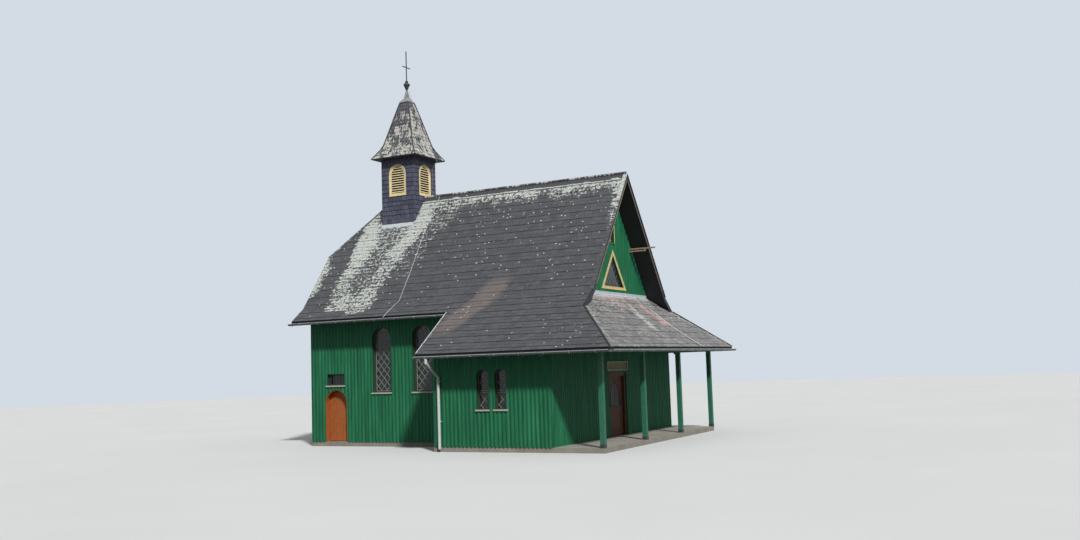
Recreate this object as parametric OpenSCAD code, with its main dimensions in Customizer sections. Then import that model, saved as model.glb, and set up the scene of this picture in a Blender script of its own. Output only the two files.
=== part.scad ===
// Small timber chapel clad in corrugated sheet: a steep nave roof that turns flatter
// over its walls, with a half-hip at the rear, side aisles under the flatter slope, a
// hipped porch roof on four posts across the front, and a slated ridge turret.
// X runs along the ridge with the front at +X, Y runs across, Z is up.
// The origin is on the ground under the middle of the nave.

/* [Nave] */
// Outside length of the nave, from rear wall to front wall
nave_l = 10240; // [9200:20:12400]
// Outside width of the nave
nave_w = 6000; // [5400:20:6600]
// Thickness of every outside wall
wall_t = 250; // [180:10:320]
// Height of the floor slab above the ground
floor_h = 150; // [80:10:260]

/* [Main roof] */
// Height of the ridge above the ground
ridge_z = 8710; // [8300:10:9200]
// Height of the bend above the ground, where the steep slope turns flatter
bend_z = 4750; // [4680:10:4850]
// Distance of the bend inside the face of the nave wall
bend_in = 20; // [0:5:100]
// Thickness of every roof, square to its slope
roof_t = 120; // [80:5:160]
// Overhang of the upper eaves beyond the nave wall
eave_out = 580; // [480:10:640]
// Overhang of the front verge beyond the front wall
front_verge = 620; // [560:5:700]
// Overhang of the rear verge beyond the rear wall
rear_verge = 350; // [200:10:500]
// Height of the half-hip, from the ridge down to its eave
hip_drop = 2070; // [1600:10:2300]
// Length of the half-hip along the ridge
hip_run = 1740; // [1400:10:1800]
// Half width of the ridge capping on each slope
ridge_cap_w = 170; // [100:10:260]
// Thickness of ridge capping, verge boards and flashings
trim_t = 25; // [15:1:40]

/* [Aisles] */
// Outside width across both aisles
aisle_w = 9400; // [8800:20:9800]
// Length of the aisles back from the front wall
aisle_l = 4080; // [3600:20:4300]
// Height of the low eave edge above the ground
low_eave_z = 2975; // [2900:5:3080]
// Overhang of the low eaves beyond the aisle wall
low_eave_out = 680; // [560:10:760]
// Overhang of the aisle roof at its rear verge
aisle_verge = 150; // [60:5:200]
// Height of the passage from the nave into an aisle
passage_h = 2500; // [2200:10:2700]

/* [Porch] */
// Distance from the front wall to the middle of the posts
porch_depth = 1560; // [1300:10:1800]
// Overhang of the porch eave beyond the middle of the posts
porch_eave_out = 650; // [500:10:760]
// Distance of the porch roof's edge under the verges inside the nave's eave
porch_tuck = 250; // [150:10:350]
// Height of the porch roof above the ground, where it meets the front wall
porch_top_z = 4735; // [4660:5:4800]
// Side of a square porch post
post_w = 140; // [100:5:180]
// Width of the beams on the posts
beam_w = 120; // [80:5:160]
// Height of the beams on the posts
beam_h = 160; // [120:5:200]
// Leg of a knee brace along post and beam
brace_leg = 420; // [300:10:560]
// Thickness of a knee brace
brace_w = 80; // [50:5:100]
// Clear gap between the porch roof and the main roof above it
tuck_gap = 12; // [5:1:30]

/* [Turret] */
// Side of the square ridge turret
turret_w = 1380; // [1240:10:1500]
// Distance from the rear wall to the middle of the turret
turret_from_rear = 2170; // [2100:10:2600]
// Thickness of the turret walls
turret_t = 90; // [60:5:120]
// Height of the top of the turret walls above the ridge
turret_rise = 1490; // [1300:10:1600]
// Width of a louvred opening
louvre_w = 700; // [560:10:760]
// Height of a louvred opening to the crown of its arch
louvre_h = 1110; // [900:10:1200]
// Distance from a louvre's crown to the top of the turret wall
louvre_drop = 250; // [90:10:300]
// Width of a louvre's frame
louvre_frame = 75; // [50:5:90]
// Slats in a louvre
louvre_slats = 11; // [8:1:14]
// Thickness of a slat
slat_t = 14; // [10:1:22]
// Width of a slat
slat_w = 60; // [40:2:80]
// Lean of a slat from the level, in degrees
slat_lean = 56; // [25:1:65]

/* [Spire] */
// Half width of the spire at its eave
spire_half = 970; // [880:10:1060]
// Height of the shingled spire, eave to cap
spire_h = 2175; // [2000:5:2600]
// Half width of the spire under the cap
spire_top_half = 180; // [160:5:260]
// Extra flare of the spire at its eave
spire_flare = 195; // [60:5:240]
// Share of the spire's height that flares out
spire_skirt = 0.23; // [0.15:0.01:0.4]
// Thickness of the spire roof
spire_t = 70; // [50:5:90]
// Height of the metal cap
cap_h = 475; // [320:5:520]
// Height of the metal cone under the ball
cone_h = 270; // [200:5:320]
// Radius of the metal cone at its wide end
cone_r = 122; // [80:2:130]
// Radius of the ball under the cross
ball_r = 60; // [40:1:75]
// Height of the cross above its ball
cross_h = 1110; // [900:10:1300]
// Half length of the arms of the cross
cross_arm = 240; // [200:5:340]
// Height of the arms as a share of the height of the cross
arm_share = 0.44; // [0.35:0.01:0.65]
// Width of the bars of the cross
cross_bar = 28; // [20:1:50]

/* [Windows] */
// Width of a tall window
tall_w = 740; // [560:10:800]
// Height of a tall window to the crown of its arch
tall_h = 2185; // [1800:5:2240]
// Height of the tall windows' sills above the ground
tall_z = 1790; // [1700:10:1900]
// Distance from the rear wall to the middle of the first tall window
tall_x = 3000; // [2750:10:3200]
// Distance between the middles of the tall windows
tall_pitch = 1645; // [1300:5:1900]
// Width of a small aisle window
small_w = 400; // [300:10:480]
// Height of a small aisle window to the crown of its arch
small_h = 1200; // [900:10:1300]
// Height of the small windows' sills above the ground
small_z = 1260; // [1150:10:1400]
// Distance from the front wall to the middle of the nearer small window
small_x = 1680; // [1400:10:1900]
// Distance between the middles of the small windows
small_pitch = 625; // [520:5:800]
// Width of the barred window over the side door
barred_w = 740; // [500:10:760]
// Height of the barred window over the side door
barred_h = 390; // [280:10:420]
// Distance from the side door's crown up to the barred window's sill
barred_gap = 145; // [105:5:285]
// Width of a window frame
frame_w = 45; // [30:1:60]
// Depth of a window frame
frame_d = 60; // [40:2:90]
// Distance of the window frames behind the wall face
frame_back = 90; // [50:5:110]
// Thickness of a glass pane
glass_t = 8; // [4:1:12]
// Thickness of a window sill
sill_t = 45; // [25:1:60]
// Distance that a sill stands out from the wall
sill_out = 60; // [30:2:90]

/* [Gable] */
// Half width of the triangular gable window
gable_win_half = 1000; // [800:10:1100]
// Height of the gable window's foot above the ground
gable_win_z = 4925; // [4880:5:5000]
// Width of the gable window's frame
gable_frame = 95; // [80:5:150]
// Distance that the frames in the gable stand out from the wall
gable_out = 30; // [5:1:40]
// Width of the narrow vent over the gable window
vent_w = 400; // [300:10:620]
// Height of the narrow vent
vent_h = 700; // [500:10:760]
// Height of the vent's foot above the ground
vent_z = 6430; // [6400:5:6600]
// Height of the flashing up the gable wall
flash_h = 100; // [70:5:140]
// Reach of the flashing down the porch roof
flash_w = 120; // [80:5:200]
// Reach of the bracket out from the gable wall
bracket_l = 950; // [700:10:1000]
// Distance of the bracket inside the roof's underside, at its upper bar's height
bracket_in = 138.151; // [80:1:300]
// Height of the bracket's upper bar above the ground
bracket_z = 6400; // [6100:10:6420]
// Thickness of the bracket's bars
bracket_bar = 46; // [25:1:60]

/* [Doors] */
// Width of the front door opening in the wall
door_w = 1400; // [1200:10:1500]
// Height of the front door opening above the floor
door_h = 2050; // [1950:10:2080]
// Width of the front door frame's members
door_frame = 85; // [60:5:110]
// Depth of the front door frame
door_frame_d = 130; // [100:5:160]
// Distance of the front door frame behind the wall face
door_back = 20; // [10:5:40]
// Thickness of a door leaf
leaf_t = 50; // [40:2:60]
// Running gap round a door leaf
leaf_gap = 8; // [7:1:12]
// Width of the door leaf's stiles and rails
stile_w = 150; // [110:5:180]
// Depth of the door leaf's panels below its face
panel_sink = 12; // [6:1:16]
// Width of the sign board over the door
sign_w = 1680; // [1400:10:1800]
// Height of the sign board
sign_h = 300; // [220:10:320]
// Height of the sign board's foot above the ground
sign_z = 2268; // [2250:1:2300]
// Thickness of the sign board
sign_t = 40; // [20:2:60]
// Width of the arched side door opening in the wall
side_w = 930; // [800:10:1000]
// Height of the side door opening's crown above the ground
side_h = 1915; // [1850:5:1960]
// Distance from the rear wall to the middle of the side door
side_x = 1060; // [950:5:1200]
// Thickness of the side door's lining
lining_t = 28; // [18:1:40]

/* [Gutters] */
// Outside radius of the half-round gutters
gutter_r = 65; // [50:1:80]
// Wall thickness of the gutters and their end caps
gutter_t = 4; // [3:0.5:6]
// Distance of the gutters' rims below the edge of their eave
gutter_low = 90; // [60:5:110]
// Distance that the gutters stand past the roof's ends
gutter_past = 60; // [20:5:90]
// Radius of the downpipes
pipe_r = 45; // [35:1:55]
// Height of the downpipes' open feet above the ground
pipe_foot = 90; // [40:10:200]
// Gap between a downpipe and the aisle wall
pipe_off = 60; // [40:5:100]
// Distance of the downpipes in front of the aisle's rear corner
pipe_x = 270; // [120:10:400]
// Height of the straight outlet under a gutter
outlet_h = 140; // [80:10:200]
// Height of a downpipe's swan neck
neck_h = 420; // [300:10:560]
// Height of the lower pipe clip above the ground
clip_z = 900; // [600:10:1200]
// Distance of the upper pipe clip below the swan neck
clip_drop = 150; // [80:10:300]
// Height of a pipe clip
clip_h = 30; // [20:1:50]

/* [Hinges] */
// Radius of a hinge pin
pin_r = 7; // [5:0.5:9]
// Wall of the eye round a hinge pin
eye_wall = 6; // [4:0.5:8]
// Height of a hinge eye
eye_h = 60; // [40:2:90]
// Thickness of a hinge strap
strap_t = 6; // [4:0.5:8]
// Length of a hinge strap
strap_l = 420; // [250:10:500]
// Running clearance at the hinge pins
pin_gap = 0.3; // [0.2:0.05:0.5]

/* [Hidden] */
$fn = 64;
// Clearance where a piece is set into an opening
seat = 0.3;
// Reach of a cutting shape past the face that it cuts
past = 50;
// Height well above the building, for cutting shapes
sky = 20000;

hx = nave_l / 2;
hy = nave_w / 2;
inner_y = hy - wall_t;
inner_x = hx - wall_t;
eave_y = hy + eave_out;
bend_y = hy - bend_in;
main_pitch = (ridge_z - bend_z) / bend_y;
main_drop = roof_t * sqrt(1 + main_pitch * main_pitch);
verge_x = hx + front_verge;
rear_x = -hx - rear_verge;
hip_x = rear_x + hip_run;
hip_y = hip_drop / main_pitch;
hip_pitch = hip_drop / hip_run;
hip_under = roof_t * sqrt(1 + hip_pitch * hip_pitch);

aisle_y = aisle_w / 2;
aisle_x = hx - aisle_l;
low_y = aisle_y + low_eave_out;
low_pitch = (bend_z - low_eave_z) / (low_y - bend_y);
low_drop = roof_t * sqrt(1 + low_pitch * low_pitch);
eave_z = bend_z - (eave_y - bend_y) * low_pitch;
under_y = bend_y - (main_drop - low_drop) / (main_pitch - low_pitch);
under_z = ridge_z - main_drop - under_y * main_pitch;

post_x = hx + porch_depth;
porch_x = post_x + porch_eave_out;
porch_pitch = (porch_top_z - low_eave_z) / (porch_x - hx);
porch_drop = roof_t * sqrt(1 + porch_pitch * porch_pitch);
hip_top_y = low_y - (porch_x - verge_x) * porch_pitch / low_pitch;
tuck_y = eave_y - porch_tuck;
post_y = aisle_y - post_w / 2;
beam_top = low_eave_z - porch_drop + (porch_x - post_x - beam_w / 2) * porch_pitch;
gable_z = porch_top_z - porch_drop;
head_z = floor_h + door_h;

bracket_y = (ridge_z - main_drop - bracket_z) / main_pitch - bracket_in;

turret_x = -hx + turret_from_rear;
turret_top_z = ridge_z + turret_rise;
turret_h = turret_w / 2;
louvre_z = turret_top_z - louvre_drop - louvre_h;
spire_z = turret_top_z;
cap_z = spire_z + spire_h;
finial_z = cap_z + cap_h;

side_cx = -hx + side_x;
barred_z = side_h + barred_gap;
front_leaf_w = door_w - 2 * door_frame - 2 * leaf_gap;
front_leaf_h = door_h - door_frame - 2 * leaf_gap;
side_leaf_w = side_w - 2 * lining_t - 2 * leaf_gap - 2 * seat;
side_leaf_h = side_h - floor_h - lining_t - 2 * leaf_gap - seat;
eye_r = pin_r + pin_gap + eye_wall;
hinge_off = eye_r + 5;
leaf_in_x = hx - door_back - door_frame_d;
front_pin = [leaf_in_x - hinge_off, -front_leaf_w / 2 - leaf_gap / 2];
side_pin = [side_cx - side_leaf_w / 2 - leaf_gap / 2, -inner_y + hinge_off];

green = "#23734e";
dark_green = "#1b5a3f";
slate = "#58545c";
light_slate = "#96918f";
yellow = "#ebcd78";
brown = "#6b3f2a";
rust = "#b0602f";
zinc = "#9aa0a4";
dark_metal = "#3c3f42";
stone = "#a9a59b";
glass = "#42504f";

// Extrudes a profile drawn in (y, z) from x0 to x1.
module along_x(x0, x1) {
    translate([x0, 0, 0]) rotate([90, 0, 90]) linear_extrude(x1 - x0) children();
}

// Extrudes a profile drawn in (x, z) from y0 to y1.
module along_y(y0, y1) {
    translate([0, y1, 0]) rotate([90, 0, 0]) linear_extrude(y1 - y0) children();
}

// A box between two opposite corners.
module block(a, b) {
    translate(a) cube(b - a);
}

// Draws its child on the north side, and again mirrored on the south side.
module both_sides() {
    children();
    mirror([0, 1, 0]) children();
}

// An upright outline with a round-arched head, its foot in the middle at the origin.
module arch_outline(w, h) {
    union() {
        translate([-w / 2, 0]) square([w, h - w / 2]);
        translate([0, h - w / 2]) circle(d = w);
    }
}

// The space below the main roof and the aisle roofs, from x0 to x1.
module below_roofs(x0, x1) {
    foot_y = low_y - past;
    foot_z = low_eave_z - low_drop - seat + past * low_pitch;
    along_x(x0, x1) polygon([
        [-foot_y, -past], [foot_y, -past], [foot_y, foot_z], [under_y, under_z - seat],
        [0, ridge_z - main_drop - seat], [-under_y, under_z - seat], [-foot_y, foot_z]]);
}

// The space below the half-hip.
module below_half_hip() {
    z_ridge = ridge_z - hip_under - seat;
    along_y(-hy, hy) polygon([
        [rear_x, -past], [hip_x + past, -past],
        [hip_x + past, z_ridge + past * hip_pitch], [rear_x, z_ridge - hip_drop]]);
}

// Plan of the north slope of the main roof, grown outwards at the front by g.
module main_plan(g) {
    polygon([
        [hip_x, 0], [verge_x + g, 0], [verge_x + g, eave_y], [rear_x, eave_y],
        [rear_x, hip_y]]);
}

// North slope of the main roof, made deeper by under and higher by over.
module main_slope(under, over, g) {
    intersection() {
        along_x(rear_x - past, verge_x + past) polygon([
            [0, ridge_z + over], [bend_y, bend_z + over], [eave_y, eave_z + over],
            [eave_y, eave_z - low_drop - under], [under_y, under_z - under],
            [0, ridge_z - main_drop - under]]);
        linear_extrude(sky) main_plan(g);
    }
}

module aisle_slope() {
    intersection() {
        along_x(aisle_x - aisle_verge, porch_x) polygon([
            [eave_y, eave_z], [eave_y, eave_z - low_drop],
            [low_y, low_eave_z - low_drop], [low_y, low_eave_z]]);
        linear_extrude(sky) polygon([
            [aisle_x - aisle_verge, eave_y], [verge_x, eave_y], [verge_x, hip_top_y],
            [porch_x, low_y], [aisle_x - aisle_verge, low_y]]);
    }
}

// A window frame with a round head, standing on z = 0 with its face on y = 0.
module arched_frame(w, h, fw) {
    rotate([90, 0, 0]) mirror([0, 0, 1]) linear_extrude(frame_d) difference() {
        arch_outline(w - 2 * seat, h - seat);
        translate([0, fw]) arch_outline(w - 2 * seat - 2 * fw, h - seat - 2 * fw);
    }
}

// A sill that lies in the foot of an opening and stands out from the wall face at y = 0.
module sill(w, depth) {
    block([-w / 2 + seat, -seat, -sill_t], [w / 2 - seat, depth, 0]);
    block([-w / 2 - sill_t, -sill_out, -sill_t], [w / 2 + sill_t, 0, 0]);
}

// Cuts the opening of a window and its sill in a wall whose outside is y = 0.
module arched_cut(w, h) {
    along_y(-past, wall_t + past) arch_outline(w, h);
    block([-w / 2, -past, -sill_t], [w / 2, wall_t + past, 1]);
}

module south_wall_blank(x0, x1, z0) {
    intersection() {
        block([x0, -hy, z0], [x1, -inner_y, ridge_z]);
        below_roofs(x0, x1);
    }
}

tall_places = [for (i = [0, 1]) -hx + tall_x + i * tall_pitch];
small_places = [for (i = [0, 1]) hx - small_x - i * small_pitch];

module floor_slab() {
    color(stone) difference() {
        block([-hx, -aisle_y, 0], [hx, aisle_y, floor_h]);
        block([-hx - past, -aisle_y - past, -past], [aisle_x, -hy, floor_h + past]);
        block([-hx - past, hy, -past], [aisle_x, aisle_y + past, floor_h + past]);
    }
}

module porch_floor() {
    color(stone) block([hx, -aisle_y, 0], [post_x + post_w / 2, aisle_y, floor_h]);
}

module south_wall_corner() {
    color(green) south_wall_blank(-hx, side_cx - side_w / 2, floor_h);
}

module south_wall_over_door() {
    x0 = side_cx - side_w / 2;
    x1 = side_cx + side_w / 2;
    spring_z = side_h - side_w / 2;
    color(green) difference() {
        south_wall_blank(x0, x1, spring_z);
        translate([side_cx, 0, floor_h])
            along_y(-hy - past, -inner_y + past) arch_outline(side_w, side_h - floor_h);
        block([side_cx - barred_w / 2, -hy - past, barred_z - sill_t],
            [side_cx + barred_w / 2, -inner_y + past, barred_z + barred_h]);
    }
}

module south_wall() {
    color(green) difference() {
        south_wall_blank(side_cx + side_w / 2, aisle_x + wall_t, floor_h);
        for (x = tall_places) translate([x, -hy, tall_z]) arched_cut(tall_w, tall_h);
    }
}

module north_wall() {
    color(green) mirror([0, 1, 0]) difference() {
        south_wall_blank(-hx, aisle_x + wall_t, floor_h);
        for (x = tall_places) translate([x, -hy, tall_z]) arched_cut(tall_w, tall_h);
    }
}

module rear_wall() {
    color(green) intersection() {
        block([-hx, -inner_y, floor_h], [-inner_x, inner_y, ridge_z]);
        below_roofs(-hx, -inner_x);
        below_half_hip();
    }
}

module front_wall_side() {
    intersection() {
        block([inner_x, door_w / 2, floor_h], [hx, aisle_y, gable_z]);
        below_roofs(inner_x, hx);
    }
}

module front_wall_south() {
    color(green) mirror([0, 1, 0]) front_wall_side();
}

module front_wall_north() {
    color(green) front_wall_side();
}

module front_wall_over_door() {
    color(green) block([inner_x, -door_w / 2, head_z], [hx, door_w / 2, gable_z]);
}

module gable_triangle(half) {
    polygon([[-half, 0], [half, 0], [0, half * main_pitch]]);
}

module front_gable() {
    color(green) difference() {
        intersection() {
            block([inner_x, -eave_y, gable_z], [hx, eave_y, ridge_z]);
            below_roofs(inner_x, hx);
        }
        translate([0, 0, gable_win_z])
            along_x(inner_x - past, hx + past) gable_triangle(gable_win_half);
        block([inner_x - past, -vent_w / 2, vent_z],
            [hx + past, vent_w / 2, vent_z + vent_h]);
    }
}

module aisle_wall() {
    difference() {
        intersection() {
            block([aisle_x, -aisle_y, floor_h], [inner_x, -aisle_y + wall_t, bend_z]);
            below_roofs(aisle_x, inner_x);
        }
        for (x = small_places) translate([x, -aisle_y, small_z]) arched_cut(small_w, small_h);
    }
}

module aisle_wall_south() {
    color(green) aisle_wall();
}

module aisle_wall_north() {
    color(green) mirror([0, 1, 0]) aisle_wall();
}

module aisle_end_wall() {
    intersection() {
        block([aisle_x, hy, floor_h], [aisle_x + wall_t, aisle_y - wall_t, bend_z]);
        below_roofs(aisle_x, aisle_x + wall_t);
    }
}

module aisle_end_wall_south() {
    color(green) mirror([0, 1, 0]) aisle_end_wall();
}

module aisle_end_wall_north() {
    color(green) aisle_end_wall();
}

// The nave wall over the passages into the aisles.
module aisle_headers() {
    color(dark_green) both_sides() mirror([0, 1, 0])
        south_wall_blank(aisle_x + wall_t, inner_x, floor_h + passage_h);
}

module main_roof_south() {
    color(slate) mirror([0, 1, 0]) main_slope(0, 0, 0);
}

module main_roof_north() {
    color(slate) main_slope(0, 0, 0);
}

module half_hip_roof() {
    color(slate) intersection() {
        along_y(-hip_y, hip_y) polygon([
            [hip_x, ridge_z], [rear_x, ridge_z - hip_drop],
            [rear_x, ridge_z - hip_drop - hip_under], [hip_x, ridge_z - hip_under]]);
        linear_extrude(sky) polygon([[hip_x, 0], [rear_x, hip_y], [rear_x, -hip_y]]);
    }
}

module aisle_roof_south() {
    color(slate) mirror([0, 1, 0]) aisle_slope();
}

module aisle_roof_north() {
    color(slate) aisle_slope();
}

module porch_roof() {
    color(light_slate) difference() {
        intersection() {
            along_y(-low_y, low_y) polygon([
                [hx, porch_top_z], [porch_x, low_eave_z],
                [porch_x, low_eave_z - porch_drop], [hx, porch_top_z - porch_drop]]);
            linear_extrude(sky) polygon([
                [hx, -tuck_y], [verge_x, -tuck_y], [verge_x, -hip_top_y], [porch_x, -low_y],
                [porch_x, low_y], [verge_x, hip_top_y], [verge_x, tuck_y], [hx, tuck_y]]);
        }
        both_sides() main_slope(tuck_gap, sky, tuck_gap);
    }
}

module ridge_cap() {
    foot_z = ridge_z + seat - ridge_cap_w * main_pitch;
    color(slate) along_x(turret_x + turret_h, verge_x) polygon([
        [-ridge_cap_w, foot_z], [0, ridge_z + seat], [ridge_cap_w, foot_z],
        [ridge_cap_w, foot_z + trim_t], [0, ridge_z + trim_t * 2], [-ridge_cap_w, foot_z + trim_t]]);
}

// A board against the end of a roof slope, from y0 past the bend to y1.
module verge_board(x, y0, y1) {
    z0 = ridge_z - y0 * main_pitch;
    z1 = bend_z - (y1 - bend_y) * low_pitch;
    along_x(x, x + trim_t) polygon([
        [y0, z0], [bend_y, bend_z], [y1, z1], [y1, z1 - low_drop - trim_t],
        [under_y, under_z - trim_t], [y0, z0 - main_drop - trim_t]]);
}

module verge_boards() {
    color(dark_metal) both_sides() {
        difference() {
            verge_board(verge_x, 0, hip_top_y);
            along_y(0, low_y) polygon([
                [hx, 0], [porch_x, 0], [porch_x, low_eave_z + seat], [hx, porch_top_z + seat]]);
        }
        verge_board(rear_x - trim_t, hip_y, eave_y);
    }
}

// Lead-coloured flashings: along the foot of the gable and round the turret.
module flashings() {
    top = porch_top_z + seat;
    lay = top - flash_w * porch_pitch;
    clear_y = (ridge_z - main_drop - tuck_gap - porch_top_z - flash_h) / main_pitch;
    color(zinc) {
        along_y(-clear_y, clear_y) polygon([
            [hx, top], [hx + flash_w, lay], [hx + flash_w, lay + trim_t / 2],
            [hx + trim_t, top + trim_t / 2], [hx + trim_t, top + flash_h], [hx, top + flash_h]]);
        both_sides() turret_apron();
    }
}

// The flashing at the foot of one side of the turret.
module turret_apron() {
    foot_z = ridge_z + seat - turret_h * main_pitch;
    along_x(turret_x - turret_h, turret_x + turret_h) polygon([
        [turret_h, foot_z], [turret_h + flash_w, foot_z - flash_w * main_pitch],
        [turret_h + flash_w, foot_z - flash_w * main_pitch + trim_t],
        [turret_h + trim_t, foot_z + trim_t], [turret_h + trim_t, foot_z + flash_h],
        [turret_h, foot_z + flash_h]]);
}

// A half-round gutter along X with closed ends, its rim at z = 0 and its back at y = 0.
module gutter(x0, x1) {
    translate([0, gutter_r, 0]) {
        along_x(x0, x1) gutter_ring(gutter_r - gutter_t);
        along_x(x0, x0 + gutter_t) gutter_ring(0);
        along_x(x1 - gutter_t, x1) gutter_ring(0);
    }
}

module gutter_ring(r_in) {
    difference() {
        circle(r = gutter_r);
        circle(r = r_in);
        translate([-gutter_r - 1, 0]) square([2 * gutter_r + 2, gutter_r + 1]);
    }
}

module upper_gutters() {
    color(dark_metal) both_sides() translate([0, eave_y, eave_z - gutter_low])
        gutter(rear_x - trim_t - gutter_past, aisle_x - aisle_verge - gutter_past);
}

module lower_gutters() {
    rim_z = low_eave_z - gutter_low;
    color(dark_metal) {
        both_sides() translate([0, low_y, rim_z])
            gutter(aisle_x - aisle_verge - gutter_past, porch_x);
        translate([porch_x, 0, rim_z]) rotate([0, 0, -90])
            gutter(-low_y - 2 * gutter_r, low_y + 2 * gutter_r);
    }
}

// A downpipe with a swan neck from the gutter back to the aisle wall.
module downpipe() {
    top_z = low_eave_z - gutter_low - gutter_r;
    out_y = low_y + gutter_r;
    wall_y = aisle_y + pipe_off + pipe_r;
    px = aisle_x + pipe_x;
    neck_z = top_z - outlet_h;
    low_z = neck_z - neck_h;
    translate([px, out_y, neck_z]) cylinder(h = outlet_h - seat, r = pipe_r);
    hull() {
        translate([px, out_y, neck_z]) sphere(r = pipe_r, $fn = 32);
        translate([px, wall_y, low_z]) sphere(r = pipe_r, $fn = 32);
    }
    translate([px, wall_y, pipe_foot]) cylinder(h = low_z - pipe_foot, r = pipe_r);
    for (z = [clip_z, low_z - clip_drop])
        block([px - pipe_r, aisle_y, z], [px + pipe_r, wall_y, z + clip_h]);
}

module downpipes() {
    color(zinc) both_sides() downpipe();
}

module porch_post(i) {
    y = -post_y + i * 2 * post_y / 3;
    color(dark_green) block([post_x - post_w / 2, y - post_w / 2, floor_h],
        [post_x + post_w / 2, y + post_w / 2, beam_top - beam_h]);
}

module porch_post_1() porch_post(0);
module porch_post_2() porch_post(1);
module porch_post_3() porch_post(2);
module porch_post_4() porch_post(3);

// A knee brace between a post face at y = 0 and the beam soffit at z = 0.
module knee_brace() {
    band = brace_w * sqrt(2);
    along_x(-brace_w / 2, brace_w / 2) polygon([
        [0, -brace_leg], [brace_leg, 0], [brace_leg - band, 0], [0, band - brace_leg]]);
}

module porch_beams() {
    soffit = beam_top - beam_h;
    color(dark_green) {
        block([post_x - beam_w / 2, -aisle_y, soffit], [post_x + beam_w / 2, aisle_y, beam_top]);
        both_sides() block([hx, post_y - beam_w / 2, soffit],
            [post_x - beam_w / 2, post_y + beam_w / 2, beam_top]);
        for (i = [0:3]) {
            y = -post_y + i * 2 * post_y / 3;
            if (i < 3) translate([post_x, y + post_w / 2, soffit]) knee_brace();
            if (i > 0) translate([post_x, y - post_w / 2, soffit]) mirror([0, 1, 0]) knee_brace();
        }
    }
}

// Hinge eye and strap, with the pin's axis on the origin and the leaf along +Y.
module hinge_strap() {
    difference() {
        union() {
            cylinder(h = eye_h, r = eye_r);
            block([hinge_off - strap_t, 0, 0], [hinge_off, strap_l, eye_h]);
            block([0, 0, 0], [hinge_off, eye_r, eye_h]);
        }
        translate([0, 0, -1]) cylinder(h = eye_h + 2, r = pin_r + pin_gap);
    }
}

// Hinge pin on its bracket, with the jamb's face at x = hinge_off and its edge at y = edge.
module hinge_pin(edge) {
    plate = 14;
    base = -pin_gap - plate;
    translate([0, 0, base]) cylinder(h = plate + pin_gap + eye_h, r = pin_r);
    translate([0, 0, base]) cylinder(h = plate, r = eye_r);
    block([-eye_r, edge - 60, base], [eye_r, 0, base + plate]);
    block([eye_r - 1, edge - 60, base - 30], [hinge_off, edge - 6, base + plate]);
}

hinge_heights = [300, 0.8 * front_leaf_h];

module front_door() {
    z0 = floor_h + leaf_gap;
    in_w = front_leaf_w - 2 * stile_w;
    color(brown) difference() {
        translate([0, 0, z0]) union() {
            block([leaf_in_x, -front_leaf_w / 2, 0],
                [leaf_in_x + leaf_t - panel_sink, front_leaf_w / 2, front_leaf_h]);
            translate([leaf_in_x + leaf_t - panel_sink, 0, 0]) along_x(0, panel_sink) difference() {
                translate([-front_leaf_w / 2, 0]) square([front_leaf_w, front_leaf_h]);
                translate([-in_w / 2, stile_w]) square([in_w, 0.32 * front_leaf_h]);
                translate([0, 0.32 * front_leaf_h + 2 * stile_w])
                    lancet(in_w, 0.68 * front_leaf_h - 3 * stile_w);
            }
        }
        for (z = hinge_heights) translate([front_pin[0], front_pin[1], z0 + z])
            cylinder(h = eye_h, r = pin_r + pin_gap);
    }
    color(dark_metal) for (z = hinge_heights)
        translate([front_pin[0], front_pin[1], z0 + z]) hinge_strap();
}

// A pointed-arch outline with its foot in the middle at the origin.
module lancet(w, h) {
    rise = w * sqrt(3) / 2;
    translate([-w / 2, 0]) square([w, h - rise]);
    translate([0, h - rise]) intersection() {
        translate([-w / 2, 0]) circle(r = w);
        translate([w / 2, 0]) circle(r = w);
        translate([-w / 2, -1]) square([w, rise + 1]);
    }
}

module front_door_frame() {
    x0 = leaf_in_x;
    x1 = hx - door_back;
    lip = 22;
    lip_x = x0 + leaf_t + 6;
    color(brown) {
        difference() {
            block([x0, -door_w / 2 + seat, floor_h], [x1, door_w / 2 - seat, head_z - seat]);
            block([x0 - past, -door_w / 2 + door_frame, 0],
                [lip_x, door_w / 2 - door_frame, head_z - door_frame]);
            block([x0 - past, -door_w / 2 + door_frame + lip, 0],
                [x1 + past, door_w / 2 - door_frame - lip, head_z - door_frame - lip]);
        }
    }
    color(dark_metal) for (z = hinge_heights)
        translate([front_pin[0], front_pin[1], floor_h + leaf_gap + z])
            hinge_pin(-leaf_gap / 2);
}

module sign_board() {
    rim = 40;
    color(yellow) difference() {
        block([hx, -sign_w / 2, sign_z], [hx + sign_t, sign_w / 2, sign_z + sign_h]);
        block([hx + sign_t / 2, -sign_w / 2 + rim, sign_z + rim],
            [hx + sign_t + past, sign_w / 2 - rim, sign_z + sign_h - rim]);
    }
}

module side_door() {
    z0 = floor_h + leaf_gap;
    color(rust) translate([side_cx, 0, z0])
        along_y(-inner_y - leaf_t, -inner_y) arch_outline(side_leaf_w, side_leaf_h);
    color(dark_metal) for (z = side_hinges)
        translate([side_pin[0], side_pin[1], z0 + z]) rotate([0, 0, -90]) hinge_strap();
}

side_hinges = [180, 900];

module side_door_lining() {
    w = side_w - 2 * seat;
    h = side_h - floor_h - seat;
    color(rust) translate([side_cx, 0, floor_h]) along_y(-hy, -inner_y) difference() {
        arch_outline(w, h);
        translate([0, -1]) arch_outline(w - 2 * lining_t, h - lining_t + 1);
    }
    color(dark_metal) for (z = side_hinges)
        translate([side_pin[0], side_pin[1], floor_h + leaf_gap + z])
            rotate([0, 0, -90]) hinge_pin(-leaf_gap / 2);
}

module tall_window() {
    translate([0, frame_back, 0]) arched_frame(tall_w, tall_h, frame_w);
    sill(tall_w, frame_back + frame_d);
}

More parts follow.
